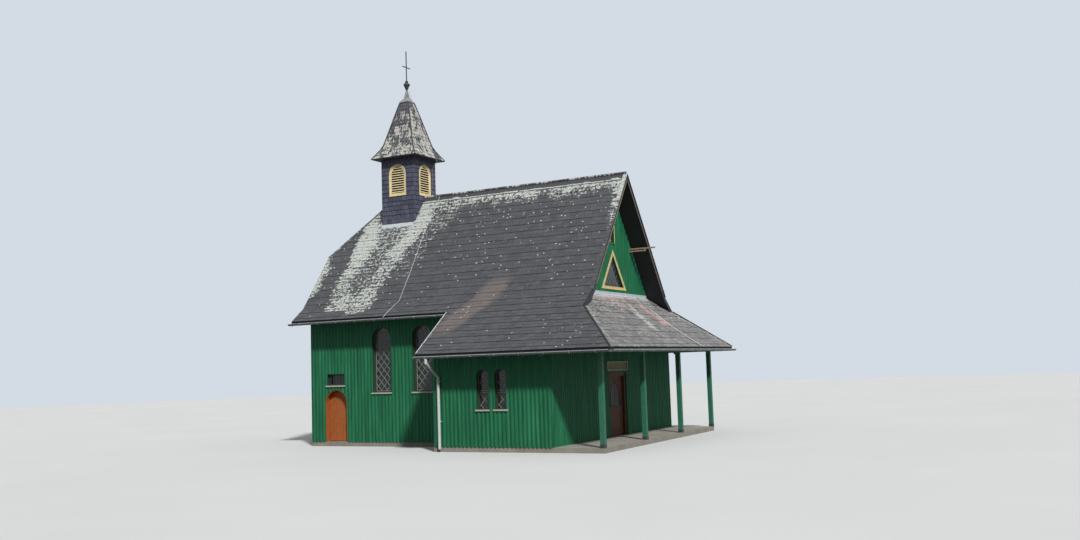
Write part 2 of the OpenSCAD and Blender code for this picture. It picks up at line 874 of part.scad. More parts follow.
module small_window() {
    translate([0, frame_back, 0]) arched_frame(small_w, small_h, frame_w * 0.8);
    sill(small_w, frame_back + frame_d);
}

module tall_windows() {
    color(dark_metal) both_sides() mirror([0, 1, 0])
        for (x = tall_places) translate([x, -hy, tall_z]) tall_window();
}

module aisle_windows() {
    color(dark_metal) both_sides() mirror([0, 1, 0])
        for (x = small_places) translate([x, -aisle_y, small_z]) small_window();
}

module barred_window() {
    w = barred_w - 2 * seat;
    h = barred_h - seat;
    color(dark_metal) translate([side_cx, -hy, barred_z]) {
        translate([0, frame_back, 0]) along_y(0, frame_d) difference() {
            translate([-w / 2, 0]) square([w, h]);
            translate([-w / 2 + frame_w, frame_w]) square([w - 2 * frame_w, h - 2 * frame_w]);
        }
        sill(barred_w, frame_back + frame_d);
    }
}

// The triangular window's frame, and the frame and slats of the vent above it.
module gable_window() {
    in_half = gable_win_half - seat - gable_frame * (1 + 1 / main_pitch * sqrt(1 + main_pitch * main_pitch));
    color(yellow) {
        translate([0, 0, gable_win_z]) along_x(hx - frame_d, hx + gable_out) difference() {
            translate([0, seat / 2]) gable_triangle(gable_win_half - 2 * seat);
            translate([0, gable_frame]) gable_triangle(in_half);
        }
        translate([0, 0, vent_z]) difference() {
            block([hx - frame_d, -vent_w / 2 + seat, seat],
                [hx + gable_out, vent_w / 2 - seat, vent_h - seat]);
            block([hx - frame_d / 2, -vent_w / 2 + frame_w, frame_w],
                [hx + past, vent_w / 2 - frame_w, vent_h - frame_w]);
        }
    }
}

module window_panes() {
    y_glass = frame_back + frame_d;
    color(glass) {
        both_sides() mirror([0, 1, 0]) {
            for (x = tall_places) translate([x, -hy + y_glass, tall_z])
                along_y(0, glass_t) arch_outline(tall_w - 20, tall_h - 10);
            for (x = small_places) translate([x, -aisle_y + y_glass, small_z])
                along_y(0, glass_t) arch_outline(small_w - 20, small_h - 10);
        }
        translate([side_cx, -hy + y_glass, barred_z])
            block([10 - barred_w / 2, 0, 0], [barred_w / 2 - 10, glass_t, barred_h - 10]);
        translate([0, 0, gable_win_z + 10])
            along_x(hx - frame_d - glass_t, hx - frame_d) gable_triangle(gable_win_half - 30);
    }
}

// A louvre opening's outline at the turret's four faces, cut inwards from the face.
module four_faces() {
    for (a = [0:90:270]) translate([turret_x, 0, 0]) rotate([0, 0, a]) children();
}

module turret_walls() {
    in_h = turret_h - turret_t;
    color(slate) difference() {
        block([turret_x - turret_h, -turret_h, ridge_z - turret_h * main_pitch],
            [turret_x + turret_h, turret_h, turret_top_z]);
        block([turret_x - in_h, -in_h, 0], [turret_x + in_h, in_h, turret_top_z + past]);
        along_x(turret_x - turret_h - past, turret_x + turret_h + past) polygon([
            [0, ridge_z + seat], [turret_w, ridge_z + seat - turret_w * main_pitch],
            [turret_w, 0], [-turret_w, 0], [-turret_w, ridge_z + seat - turret_w * main_pitch]]);
        four_faces() translate([0, 0, louvre_z])
            along_y(-turret_h - past, -in_h + past) arch_outline(louvre_w, louvre_h);
    }
}

// One louvre: an arched frame with tilted slats, its face at y = 0.
module louvre() {
    w = louvre_w - 2 * seat;
    h = louvre_h - 2 * seat;
    depth = turret_t;
    in_w = w - 2 * louvre_frame;
    in_h = h - 2 * louvre_frame;
    pitch = in_h / louvre_slats;
    translate([0, 0, seat]) {
        along_y(-12, depth) difference() {
            arch_outline(w, h);
            translate([0, louvre_frame]) arch_outline(in_w, in_h);
        }
        intersection() {
            along_y(-12, depth) arch_outline(w - louvre_frame, h - louvre_frame / 2);
            for (i = [0:louvre_slats - 1]) translate([0, 0, louvre_frame + (i + 0.25) * pitch])
                rotate([slat_lean, 0, 0]) block([-w / 2, 0, 0], [w / 2, slat_w, slat_t]);
        }
    }
}

module turret_louvres() {
    color(yellow) four_faces() translate([0, -turret_h, louvre_z]) louvre();
}

// Half width of the spire at a share u of its height: straight, with a flared foot.
function spire_profile(u) =
    spire_top_half + (spire_half - spire_flare - spire_top_half) * (1 - u)
    + spire_flare * pow(max(0, 1 - u / spire_skirt), 1.15);

module spire_outline(inset) {
    rings = [0, 0.25 * spire_skirt, 0.5 * spire_skirt, 0.75 * spire_skirt, spire_skirt, 1];
    right = [for (u = rings) [spire_profile(u) - inset, spire_h * u]];
    left = [for (i = [len(rings) - 1:-1:0]) [-right[i][0], right[i][1]]];
    polygon(concat(right, left));
}

module spire_solid(inset) {
    intersection() {
        along_y(-spire_half, spire_half) spire_outline(inset);
        along_x(-spire_half, spire_half) spire_outline(inset);
    }
}

module spire_roof() {
    hatch = turret_h - turret_t;
    color(slate) translate([turret_x, 0, spire_z]) difference() {
        spire_solid(0);
        intersection() {
            spire_solid(spire_t);
            block([-spire_half, -spire_half, spire_t], [spire_half, spire_half, spire_h - spire_t]);
        }
        block([-hatch, -hatch, -past], [hatch, hatch, spire_t + 1]);
    }
}

module spire_cap() {
    half = spire_top_half + 35;
    color(zinc) translate([turret_x, 0, cap_z]) intersection() {
        along_y(-half, half) cap_outline(half);
        along_x(-half, half) cap_outline(half);
    }
}

module cap_outline(half) {
    tip = 26;
    waist = 80;
    polygon([
        [-half, 0], [half, 0], [half, 15], [waist, 0.4 * cap_h], [tip, cap_h],
        [-tip, cap_h], [-waist, 0.4 * cap_h], [-half, 15]]);
}

module finial() {
    top = cone_h + 2 * ball_r - 10;
    color(dark_metal) translate([turret_x, 0, finial_z]) {
        rotate_extrude() polygon([
            [0, 0], [26, 0], [cone_r, cone_h - 50], [cone_r - 10, cone_h - 15],
            [20, cone_h], [0, cone_h]]);
        translate([0, 0, cone_h + ball_r - 5]) sphere(r = ball_r);
        block([-cross_bar / 2, -cross_bar / 2, top - 20], [cross_bar / 2, cross_bar / 2, top + cross_h]);
        block([-cross_bar / 2, -cross_arm, top + arm_share * cross_h],
            [cross_bar / 2, cross_arm, top + arm_share * cross_h + cross_bar]);
    }
}

module gable_bracket() {
    h = bracket_bar / 2;
    color(dark_metal) translate([hx, bracket_y, bracket_z]) {
        block([0, -h, -bracket_bar], [bracket_l, h, 0]);
        block([0, -h, -2.7 * bracket_bar], [0.64 * bracket_l, h, -1.7 * bracket_bar]);
        block([0.6 * bracket_l, -h, -1.8 * bracket_bar], [0.64 * bracket_l, h, 1 - bracket_bar]);
        block([0, -2 * h, -3.4 * bracket_bar], [8, 2 * h, 0]);
    }
}

floor_slab();
porch_floor();
south_wall_corner();
south_wall_over_door();
south_wall();
north_wall();
rear_wall();
front_wall_south();
front_wall_north();
front_wall_over_door();
front_gable();
aisle_wall_south();
aisle_wall_north();
aisle_end_wall_south();
aisle_end_wall_north();
aisle_headers();
main_roof_south();
main_roof_north();
half_hip_roof();
aisle_roof_south();
aisle_roof_north();
porch_roof();
ridge_cap();
verge_boards();
flashings();
upper_gutters();
lower_gutters();
downpipes();
porch_post_1();
porch_post_2();
porch_post_3();
porch_post_4();
porch_beams();
front_door();
front_door_frame();
sign_board();
side_door();
side_door_lining();
tall_windows();
aisle_windows();
barred_window();
gable_window();
window_panes();
turret_walls();
turret_louvres();
spire_roof();
spire_cap();
finial();
gable_bracket();
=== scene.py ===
"""Small timber chapel: slates, corrugated cladding, windows and finishes over its CAD solids.

Metres, in the frame of the CAD model: X along the ridge with the front at +X, Y across, Z up,
and the origin on the ground under the middle of the nave.
"""

import logging
import math
import random
from dataclasses import dataclass, field
from enum import Enum
from typing import Callable, Iterable, Optional, Sequence

import bmesh
import bpy
from mathutils import Matrix, Vector, noise


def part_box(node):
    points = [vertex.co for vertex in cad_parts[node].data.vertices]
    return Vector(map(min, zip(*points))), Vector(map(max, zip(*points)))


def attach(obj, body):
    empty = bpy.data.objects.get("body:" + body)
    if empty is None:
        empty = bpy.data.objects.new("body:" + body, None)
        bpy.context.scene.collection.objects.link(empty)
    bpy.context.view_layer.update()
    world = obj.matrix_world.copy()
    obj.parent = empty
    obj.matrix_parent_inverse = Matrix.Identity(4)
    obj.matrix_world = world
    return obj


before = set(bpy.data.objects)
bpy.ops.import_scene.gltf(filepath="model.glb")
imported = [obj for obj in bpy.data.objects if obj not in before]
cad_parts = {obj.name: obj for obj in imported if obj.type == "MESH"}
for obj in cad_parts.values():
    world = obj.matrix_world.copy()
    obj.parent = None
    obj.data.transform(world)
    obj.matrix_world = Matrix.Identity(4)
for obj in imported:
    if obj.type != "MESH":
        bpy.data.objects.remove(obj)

LOG = logging.getLogger("chapel")
WHITE = "#ffffff"
UP = Vector((0, 0, 1))
ALONG = Vector((1, 0, 0))
ACROSS = Vector((0, 1, 0))
CORNERS = [(sx, sy) for sx in (-1, 1) for sy in (-1, 1)]

Tree, Socket = bpy.types.NodeTree, bpy.types.NodeSocket
Two = tuple[float, float]
Cut = tuple[float, float, float]
Ring = list[Two]


class Body(Enum):
    """The parts of the chapel that move by themselves."""

    BUILDING = "building"
    FRONT_LEAF = "front_door_leaf"
    SIDE_LEAF = "side_door_leaf"


class Side(Enum):
    """The two long sides of the chapel, with the sign of Y."""

    SOUTH = -1
    NORTH = 1


@dataclass(frozen=True)
class Plan:
    """The chapel's main sizes in metres, as the CAD model has them."""

    front: float = 5.12
    wall_y: float = 3.0
    wall_t: float = 0.25
    floor: float = 0.15
    ridge: float = 8.71
    bend_y: float = 2.98
    bend_z: float = 4.75
    eave_y: float = 3.58
    roof_t: float = 0.12
    verge: float = 5.74
    rear_verge: float = -5.47
    hip_run: float = 1.74
    hip_drop: float = 2.07
    aisle_y: float = 4.7
    aisle_x: float = 1.04
    aisle_verge: float = 0.89
    low_y: float = 5.38
    low_z: float = 2.975
    porch_x: float = 7.33
    porch_top: float = 4.735
    turret_x: float = -2.95
    turret_half: float = 0.69
    turret_top: float = 10.20
    louvre_w: float = 0.70
    louvre_h: float = 1.11
    louvre_z: float = 8.84
    spire_half: float = 0.97
    spire_h: float = 2.175
    spire_top: float = 0.18
    spire_flare: float = 0.195
    spire_skirt: float = 0.23
    tall_x: Two = (-2.12, -0.475)
    tall_w: float = 0.74
    tall_h: float = 2.185
    tall_z: float = 1.79
    small_x: Two = (3.44, 2.815)
    small_w: float = 0.40
    small_h: float = 1.20
    small_z: float = 1.26
    side_x: float = -4.06
    side_w: float = 0.93
    side_h: float = 1.915
    barred_w: float = 0.74
    barred_h: float = 0.39
    barred_z: float = 2.06
    gable_win_half: float = 1.0
    gable_win_z: float = 4.925
    vent_w: float = 0.40
    vent_h: float = 0.70
    vent_z: float = 6.43
    door_w: float = 1.40
    door_top: float = 2.20

    @property
    def steep(self) -> float:
        """Rise of the steep slope for each metre across."""
        return (self.ridge - self.bend_z) / self.bend_y

    @property
    def flat(self) -> float:
        """Rise of the flatter slope for each metre across."""
        return (self.bend_z - self.low_z) / (self.low_y - self.bend_y)

    @property
    def porch_pitch(self) -> float:
        """Rise of the porch roof for each metre back from its eave."""
        return (self.porch_top - self.low_z) / (self.porch_x - self.front)

    @property
    def hip_top_y(self) -> float:
        """Half width of the porch roof where it meets the front verge."""
        return self.low_y - (self.porch_x - self.verge) * self.porch_pitch / self.flat

    @property
    def hip_y(self) -> float:
        """Half width of the half-hip at its eave."""
        return self.hip_drop / self.steep

    def underside(self, y: float) -> float:
        """Height of the roofs' underside over a place across the chapel."""
        steep = self.ridge - self.roof_t * math.hypot(1, self.steep) - abs(y) * self.steep
        flat = self.bend_z - self.roof_t * math.hypot(1, self.flat)
        return max(steep, flat - (abs(y) - self.bend_y) * self.flat)


PLAN = Plan()


def linear(colour: str) -> tuple[float, float, float, float]:
    """Turns an sRGB hex colour to the linear values that Blender works in.

    Args:
        colour: The colour as "#rrggbb".

    Returns:
        Linear red, green, blue and an alpha of one.
    """
    parts = [int(colour[i:i + 2], 16) / 255 for i in (1, 3, 5)]
    done = [c / 12.92 if c <= 0.04045 else ((c + 0.055) / 1.055) ** 2.4 for c in parts]
    return (done[0], done[1], done[2], 1.0)


# Settings of the Mix node: two colours blended, or the second laid over the first.
MIX = {"data_type": "RGBA"}
MULTIPLY = {"data_type": "RGBA", "blend_type": "MULTIPLY"}


def add_node(tree: Tree, kind: str, inputs: Optional[dict] = None,
             stops: Sequence[tuple[float, str]] = (),
             **settings: object) -> bpy.types.bpy_prop_collection:
    """Adds one node with its settings, its values and its links.

    Args:
        tree: The node tree of a material or of the world.
        kind: Blender's name of the node's type, without the word ShaderNode before it.
        inputs: Value or output socket for each input, by name or number.
        stops: Places and sRGB hex colours of a colour ramp, in order.
        **settings: Attributes of the node itself.

    Returns:
        The new node's outputs.
    """
    node = tree.nodes.new("ShaderNode" + kind)
    for name, value in settings.items():
        setattr(node, name, value)
    for key, value in (inputs or {}).items():
        if isinstance(value, Socket):
            tree.links.new(value, node.inputs[key])
        else:
            node.inputs[key].default_value = value
    if stops:
        row = node.color_ramp.elements
        while len(row) < len(stops):
            row.new(0.5)
        for element, (place, colour) in zip(row, stops):
            element.position, element.color = place, linear(colour)
    return node.outputs


def seen(tree: Tree) -> Socket:
    """1 for rays from the camera, off a glossy surface or through glass, 0 for the others."""
    path = add_node(tree, "LightPath")
    share = path["Is Camera Ray"]
    for ray in ("Is Glossy Ray", "Is Transmission Ray"):
        share = add_node(tree, "Math", {0: share, 1: path[ray]}, operation="MAXIMUM")[0]
    return share


@dataclass(frozen=True)
class Finish:
    """What every finish of the chapel has: its colours, its gloss and its relief.

    A subclass names the real material, and its coat() gives the colour and relief sockets.
    """

    name: str
    colour: str
    second: str
    rough: float = 0.6
    ior: float = 1.5
    relief: float = 0.0

    def axes(self, tree: Tree) -> tuple:
        """The X, Y and Z sockets of the object coordinates, in metres."""
        where = add_node(tree, "TexCoord")["Object"]
        return tuple(add_node(tree, "SeparateXYZ", {0: where}))

    def place(self, tree: Tree, scale: Sequence[float]) -> Socket:
        """Object coordinates stretched by a scale, so that a pattern has real sizes."""
        where = add_node(tree, "TexCoord")["Object"]
        return add_node(tree, "Mapping", {"Vector": where, "Scale": tuple(scale)})["Vector"]

    def mottle(self, tree: Tree, grain: float, detail: float,
               scale: Sequence[float] = (1, 1, 1)) -> Socket:
        """Uneven spots about 1/grain metres across, before the stretch by scale."""
        return add_node(tree, "TexNoise", {"Vector": self.place(tree, scale), "Scale": grain,
                                           "Detail": detail, "Roughness": 0.6})["Fac"]

    def coat(self, tree: Tree) -> tuple:
        """Colour socket, and the height socket of the relief or None."""
        raise NotImplementedError

    def material(self) -> bpy.types.Material:
        """Makes the Blender material of this finish, or finds it where it is made already.

        Returns:
            The material, with the constants set on the shader's own sockets.
        """
        made = bpy.data.materials.get(self.name)
        if made:
            return made
        made = bpy.data.materials.new(self.name)
        made.use_nodes = True
        tree = made.node_tree
        shader = tree.nodes["Principled BSDF"]
        shader.inputs["Roughness"].default_value = self.rough
        shader.inputs["IOR"].default_value = self.ior
        colour, height = self.coat(tree)
        tree.links.new(colour, shader.inputs["Base Color"])
        if height and self.relief:
            bump = add_node(tree, "Bump",
                            {"Height": height, "Distance": self.relief, "Strength": 0.8})
            tree.links.new(bump["Normal"], shader.inputs["Normal"])
        return made


@dataclass(frozen=True)
class PaintedSheet(Finish):
    """Rolled corrugated steel under old gloss paint: even green, faded in tall soft streaks."""

    faded: str = "#2a7d55"
    grimy: str = "#c3cdc0"

    def coat(self, tree: Tree) -> tuple:
        """Streaks 140 mm wide and some metres tall, with clouds of a dull film over them."""
        streak = self.mottle(tree, 1.0, 3, (7, 7, 0.5))
        base = add_node(tree, "ValToRGB", {0: streak},
                        [(0.32, self.second), (0.5, self.colour), (0.72, self.faded)])[0]
        grime = self.mottle(tree, 2.2, 6, (1, 1, 0.7))
        film = add_node(tree, "ValToRGB", {0: grime}, [(0.52, WHITE), (0.75, self.grimy)])[0]
        return add_node(tree, "Mix", {0: 0.45, 6: base, 7: film}, **MULTIPLY)[2], grime


@dataclass(frozen=True)
class WallCore(Finish):
    """A framed wall behind its cladding: painted linings in the reveals, lime plaster inside."""

    limes: tuple[str, str] = ("#cfc8b8", "#dcd6c8")
    skin: float = 0.005

    def coat(self, tree: Tree) -> tuple:
        """Plaster where the point lies inside the rooms, paint elsewhere."""
        x, y, _ = self.axes(tree)
        along, across = [add_node(tree, "Math", {0: v}, operation="ABSOLUTE")[0] for v in (x, y)]
        inset = PLAN.wall_t - self.skin
        in_x, nave, aisle, beside = [
            add_node(tree, "Math", {0: way, 1: limit}, operation=test)[0] for way, limit, test in (
                (along, PLAN.front - inset, "LESS_THAN"),
                (across, PLAN.wall_y - inset, "LESS_THAN"),
                (across, PLAN.aisle_y - inset, "LESS_THAN"),
                (x, PLAN.aisle_x + inset, "GREATER_THAN"))]
        side = add_node(tree, "Math", {0: beside, 1: aisle}, operation="MULTIPLY")[0]
        room = add_node(tree, "Math", {0: nave, 1: side}, operation="MAXIMUM")[0]
        inside = add_node(tree, "Math", {0: room, 1: in_x}, operation="MULTIPLY")[0]
        grain = self.mottle(tree, 9, 6)
        plaster, paint = [add_node(tree, "ValToRGB", {0: grain}, [(0.3, low), (0.7, high)])[0]
                          for low, high in (self.limes, (self.colour, self.second))]
        return add_node(tree, "Mix", {0: inside, 6: paint, 7: plaster}, **MIX)[2], grain


@dataclass(frozen=True)
class Slate(Finish):
    """Split roofing slate: each slate its own shade, weathered, with crusts of pale lichen."""

    lichen: str = "#c9cdc6"
    shaded: str = "#868c85"
    bright: str = "#e2e4e0"
    warm: str = "#7d716c"
    cushions: float = 0.5

    def spots(self, tree: Tree) -> Socket:
        """Single white cushions of lichen, 30 to 50 mm across, more of them near the ridge."""
        where = self.place(tree, (1, 1, 1))
        cells = add_node(tree, "TexVoronoi", {"Vector": where, "Scale": 6.2})
        near = add_node(tree, "Math", {0: cells["Distance"], 1: 0.16}, operation="LESS_THAN")[0]
        height = add_node(tree, "SeparateXYZ", {0: where})[2]
        share = add_node(tree, "MapRange", {"Value": height, "From Min": 4.5, "From Max": 8.6,
                                            "To Min": self.cushions * 0.3,
                                            "To Max": self.cushions * 1.5})[0]
        picked = add_node(tree, "SeparateColor", {0: cells["Color"]})[0]
        picked = add_node(tree, "Math", {0: picked, 1: share}, operation="LESS_THAN")[0]
        return add_node(tree, "Math", {0: near, 1: picked}, operation="MULTIPLY")[0]

    def coat(self, tree: Tree) -> tuple:
        """Shade of each slate, riven grain, warm stains, and lichen that runs in drips high up."""
        tone, dense, stained = [add_node(tree, "Attribute", attribute_name=name)["Fac"]
                                for name in ("tone", "lichen", "warm")]
        stone = add_node(tree, "ValToRGB", {0: tone}, [(0.0, self.colour), (1.0, self.second)])[0]
        riven = self.mottle(tree, 20, 8)
        shade = add_node(tree, "ValToRGB", {0: riven}, [(0.3, "#aeacab"), (0.62, WHITE)])[0]
        stone = add_node(tree, "Mix", {0: 0.6, 6: stone, 7: shade}, **MULTIPLY)[2]
        stain = self.mottle(tree, 1.3, 6, (1, 1, 0.4))
        stain = add_node(tree, "Math", {0: stain, 1: 0.5, 2: stained}, operation="MULTIPLY_ADD")[0]
        share = add_node(tree, "MapRange", {"Value": stain, "From Min": 0.34})[0]
        stone = add_node(tree, "Mix", {0: share, 6: stone, 7: linear(self.warm)}, **MIX)[2]
        crust = self.mottle(tree, 17, 7, (0.6, 0.6, 1))
        height = add_node(tree, "SeparateXYZ", {0: self.place(tree, (1, 1, 1))})[2]
        high = add_node(tree, "MapRange", {"Value": height, "From Min": 7.7, "From Max": 8.4})[0]
        drips = self.mottle(tree, 13, 5, (1, 1, 0.28))
        crust = add_node(tree, "Mix", {0: high, 2: crust, 3: drips})[0]
        reach = add_node(tree, "Math", {0: crust, 1: dense}, operation="ADD")[0]
        cover = add_node(tree, "MapRange", {"Value": reach, "From Min": 0.97, "From Max": 1.05})[0]
        cover = add_node(tree, "Math", {0: cover, 1: self.spots(tree)}, operation="MAXIMUM")[0]
        growth = add_node(tree, "ValToRGB", {0: self.mottle(tree, 26, 4)},
                          [(0.34, self.shaded), (0.54, self.lichen), (0.78, self.bright)])[0]
        return add_node(tree, "Mix", {0: cover, 6: stone, 7: growth}, **MIX)[2], riven


@dataclass(frozen=True)
class SheetMetal(Finish):
    """Folded sheet metal left out in the weather: its dull, cloudy skin is no longer metallic."""

    def coat(self, tree: Tree) -> tuple:
        """Clouds some 80 mm across, drawn out upright."""
        cloud = self.mottle(tree, 12, 6, (1, 1, 0.5))
        return add_node(tree, "ValToRGB", {0: cloud},
                        [(0.3, self.colour), (0.72, self.second)])[0], cloud


@dataclass(frozen=True)
class PaintedTimber(Finish):
    """Planed timber under brushed paint: faint upright grain, worn a little at its dirt line."""

    worn: str = "#b9b3a6"

    def coat(self, tree: Tree) -> tuple:
        """Grain 6 mm wide and drawn out upright, with broad patches of wear."""
        grain = self.mottle(tree, 1.0, 4, (160, 160, 5))
        wear = self.mottle(tree, 7, 7)
        base = add_node(tree, "ValToRGB", {0: grain}, [(0.25, self.second), (0.6, self.colour)])[0]
        film = add_node(tree, "ValToRGB", {0: wear}, [(0.45, WHITE), (0.75, self.worn)])[0]
        return add_node(tree, "Mix", {0: 0.5, 6: base, 7: film}, **MULTIPLY)[2], grain


@dataclass(frozen=True)
class WindowPaint(PaintedTimber):
    """Window joinery: brown paint on the frames, and pale paint on the sills before the wall."""

    sills: tuple[str, str] = ("#c9cabb", "#a9ab9c")

    def coat(self, tree: Tree) -> tuple:
        """The sills' pale paint wherever a point stands out from its wall."""
        base, grain = super().coat(tree)
        x, y, _ = self.axes(tree)
        across = add_node(tree, "Math", {0: y}, operation="ABSOLUTE")[0]
        beside = add_node(tree, "Math", {0: x, 1: PLAN.aisle_x}, operation="GREATER_THAN")[0]
        wall = add_node(tree, "Math",
                        {0: beside, 1: PLAN.aisle_y - PLAN.wall_y, 2: PLAN.wall_y + 0.001},
                        operation="MULTIPLY_ADD")[0]
        proud = add_node(tree, "Math", {0: across, 1: wall}, operation="GREATER_THAN")[0]
        pale = add_node(tree, "ValToRGB", {0: grain},
                        [(0.3, self.sills[0]), (0.7, self.sills[1])])[0]
        return add_node(tree, "Mix", {0: proud, 6: base, 7: pale}, **MIX)[2], grain


@dataclass(frozen=True)
class LouvrePaint(PaintedTimber):
    """Cream gloss on the louvres' faces, and painted shade for the dark of the belfry behind the
    slats.
    """

    slat: str = "#ecd2b8"
    painted_shade: str = "#2b231b"

    def coat(self, tree: Tree) -> tuple:
        """Paint near the turret's face, a warmer cream on the slats, and painted shade deeper in.
        """
        base, grain = super().coat(tree)
        x, y, _ = self.axes(tree)
        shifted = add_node(tree, "Math", {0: x, 1: PLAN.turret_x}, operation="SUBTRACT")[0]
        ways = [add_node(tree, "Math", {0: v}, operation="ABSOLUTE")[0] for v in (shifted, y)]
        reach = add_node(tree, "Math", {0: ways[0], 1: ways[1]}, operation="MAXIMUM")[0]
        half = PLAN.turret_half
        # painted shade: points more than 13 mm behind the turret's face fade to dark brown, for the
        # shade inside the belfry
        lit = add_node(tree, "MapRange", {"Value": reach, "From Min": half - 0.013,
                                          "From Max": half - 0.003})[0]
        edge = add_node(tree, "Math", {0: reach, 1: half - 0.004}, operation="GREATER_THAN")[0]
        faced = add_node(tree, "Mix", {0: edge, 6: linear(self.slat), 7: base}, **MIX)[2]
        return add_node(tree, "Mix", {0: lit, 6: linear(self.painted_shade), 7: faced}, **MIX)[2], grain


@dataclass(frozen=True)
class GablePaint(PaintedTimber):
    """Yellow paint on the face of the gable's frames, green from the walls on their sides."""

    side: str = "#1b6845"

    def coat(self, tree: Tree) -> tuple:
        """Yellow where a point lies near the frames' front plane, but for the vent's sill."""
        base, grain = super().coat(tree)
        x, _, z = self.axes(tree)
        face = add_node(tree, "Math", {0: x, 1: PLAN.front + 0.0285}, operation="GREATER_THAN")[0]
        foot = add_node(tree, "Math", {0: z, 1: PLAN.vent_z + 0.023, 2: 0.024},
                        operation="COMPARE")[0]
        shown = add_node(tree, "Math", {0: face, 1: foot}, operation="SUBTRACT")[0]
        return add_node(tree, "Mix", {0: shown, 6: linear(self.side), 7: base}, **MIX)[2], grain


@dataclass(frozen=True)
class VarnishedOak(Finish):
    """Oak boards under brown varnish: dark pores along the grain and a soft gloss."""

    pore: str = "#8f7a6b"

    def coat(self, tree: Tree) -> tuple:
        """Growth rings about 12 mm apart, drawn out upright and a little wavy."""
        rings = add_node(tree, "TexWave",
                         {"Vector": self.place(tree, (6, 6, 0.5)), "Scale": 4.4, "Distortion": 5.0,
                          "Detail": 3.0, "Detail Scale": 1.4}, bands_direction="Y")["Fac"]
        pores = self.mottle(tree, 1.0, 3, (240, 240, 8))
        wood = add_node(tree, "ValToRGB", {0: rings}, [(0.1, self.second), (0.75, self.colour)])[0]
        dark = add_node(tree, "ValToRGB", {0: pores}, [(0.36, self.pore), (0.5, WHITE)])[0]
        return add_node(tree, "Mix", {0: 0.6, 6: wood, 7: dark}, **MULTIPLY)[2], pores


@dataclass(frozen=True)
class BoardedSoffit(Finish):
    """The underside of a roof: rough boards with open joints, darkened by age and made nearly black
    as painted shade.
    """

    board: float = 0.09

    def coat(self, tree: Tree) -> tuple:
        """Boards along X that rise 90 mm each, with thin dark joints and dusty grain."""
        _, _, z = self.axes(tree)
        count = add_node(tree, "Math", {0: z, 1: 1 / self.board}, operation="MULTIPLY")[0]
        part = add_node(tree, "Math", {0: count}, operation="FRACT")[0]
        joint = add_node(tree, "ValToRGB", {0: part}, [(0.0, "#101010"), (0.06, WHITE)])[0]
        grain = self.mottle(tree, 1.0, 4, (4, 90, 90))
        base = add_node(tree, "ValToRGB", {0: grain}, [(0.3, self.colour), (0.7, self.second)])[0]
        return add_node(tree, "Mix", {0: 0.85, 6: base, 7: joint}, **MULTIPLY)[2], grain


@dataclass(frozen=True)
class CastConcrete(Finish):
    """Floated concrete: sandy grey with fine pits and damp clouds."""

    pit: str = "#a09a90"

    def coat(self, tree: Tree) -> tuple:
        """Clouds half a metre across over grit of about 4 mm, drawn at 12 mm to show."""
        cloud = self.mottle(tree, 2, 5)
        grit = self.mottle(tree, 80, 2)
        base = add_node(tree, "ValToRGB", {0: cloud}, [(0.3, self.colour), (0.7, self.second)])[0]
        pits = add_node(tree, "ValToRGB", {0: grit}, [(0.3, self.pit), (0.6, WHITE)])[0]
        return add_node(tree, "Mix", {0: 0.35, 6: base, 7: pits}, **MULTIPLY)[2], grit


@dataclass(frozen=True)
class LeadedGlass(Finish):
    """Old drawn glass in small panes: dark from outside, each pane tilted its own way."""

    middle: Optional[str] = None
    dusty: str = "#8f9a94"

    def coat(self, tree: Tree) -> tuple:
        """A shade for each pane from its tone, with a faint cloud of dust."""
        tone = add_node(tree, "Attribute", attribute_name="tone")["Fac"]
        cloud = self.mottle(tree, 5, 5)
        stops = [(0.0, self.colour), (1.0, self.second)]
        if self.middle:
            stops.insert(1, (0.42, self.middle))
        pane = add_node(tree, "ValToRGB", {0: tone}, stops)[0]
        dust = add_node(tree, "ValToRGB", {0: cloud}, [(0.4, self.dusty), (0.7, WHITE)])[0]
        return add_node(tree, "Mix", {0: 0.3, 6: pane, 7: dust}, **MULTIPLY)[2], cloud


@dataclass(frozen=True)
class StudioFloor(Finish):
    """A matt studio floor that takes the chapel's shadow and throws back little light."""

    dull: str = "#404240"

    def coat(self, tree: Tree) -> tuple:
        """A faint pale cloud as seen, and the dull shade of bare ground for scattered light."""
        cloud = self.mottle(tree, 0.15, 2)
        pale = add_node(tree, "ValToRGB", {0: cloud}, [(0.3, self.colour), (0.7, self.second)])[0]
        return add_node(tree, "Mix", {0: seen(tree), 6: linear(self.dull), 7: pale}, **MIX)[2], None


SHEET = PaintedSheet("corrugated steel, green gloss paint", "#1b6845", "#145638", 0.6,
                     ior=1.36, relief=0.0006)
CORE = WallCore("framed wall, painted linings and lime plaster", "#11402b", "#164b34", 0.7,
                relief=0.0008)
ROOF_SLATE = Slate("roofing slate, riven", "#48484b", "#57575a", 0.62, relief=0.002)
PORCH_SLATE = Slate("roofing slate, bleached", "#706e6d", "#8f8c8b", 0.66, relief=0.002,
                    warm="#b8938e", lichen="#bcbab5")
SPIRE_SLATE = Slate("spire slate, crusted", "#4a4a51", "#66646a", 0.62, relief=0.002,
                    lichen="#d4d3c8", shaded="#7c7b74", warm="#6a5f58")
HUNG_SLATE = Slate("wall slate, blue-grey", "#414354", "#5b5d6e", 0.55, relief=0.0012,
                   warm="#5b5866", cushions=0.0)
LEAD = SheetMetal("sheet zinc, weathered", "#b3bbc0", "#d3d8da", 0.55, relief=0.0006)
CAP_METAL = SheetMetal("sheet zinc, sooted", "#6f736f", "#a5a8a2", 0.55, relief=0.0006)
GUTTER_METAL = SheetMetal("rolled zinc gutter, darkened", "#54585b", "#74787b", 0.5, relief=0.0004)
PIPE_METAL = SheetMetal("zinc pipe, whitened", "#c3c8c6", "#dde0dc", 0.5, relief=0.0004)
IRON = SheetMetal("forged iron, black", "#26292c", "#42474c", 0.55, relief=0.0005)
VERGE = PaintedTimber("verge board, black paint", "#1a201f", "#2b302f", 0.6, relief=0.0005)
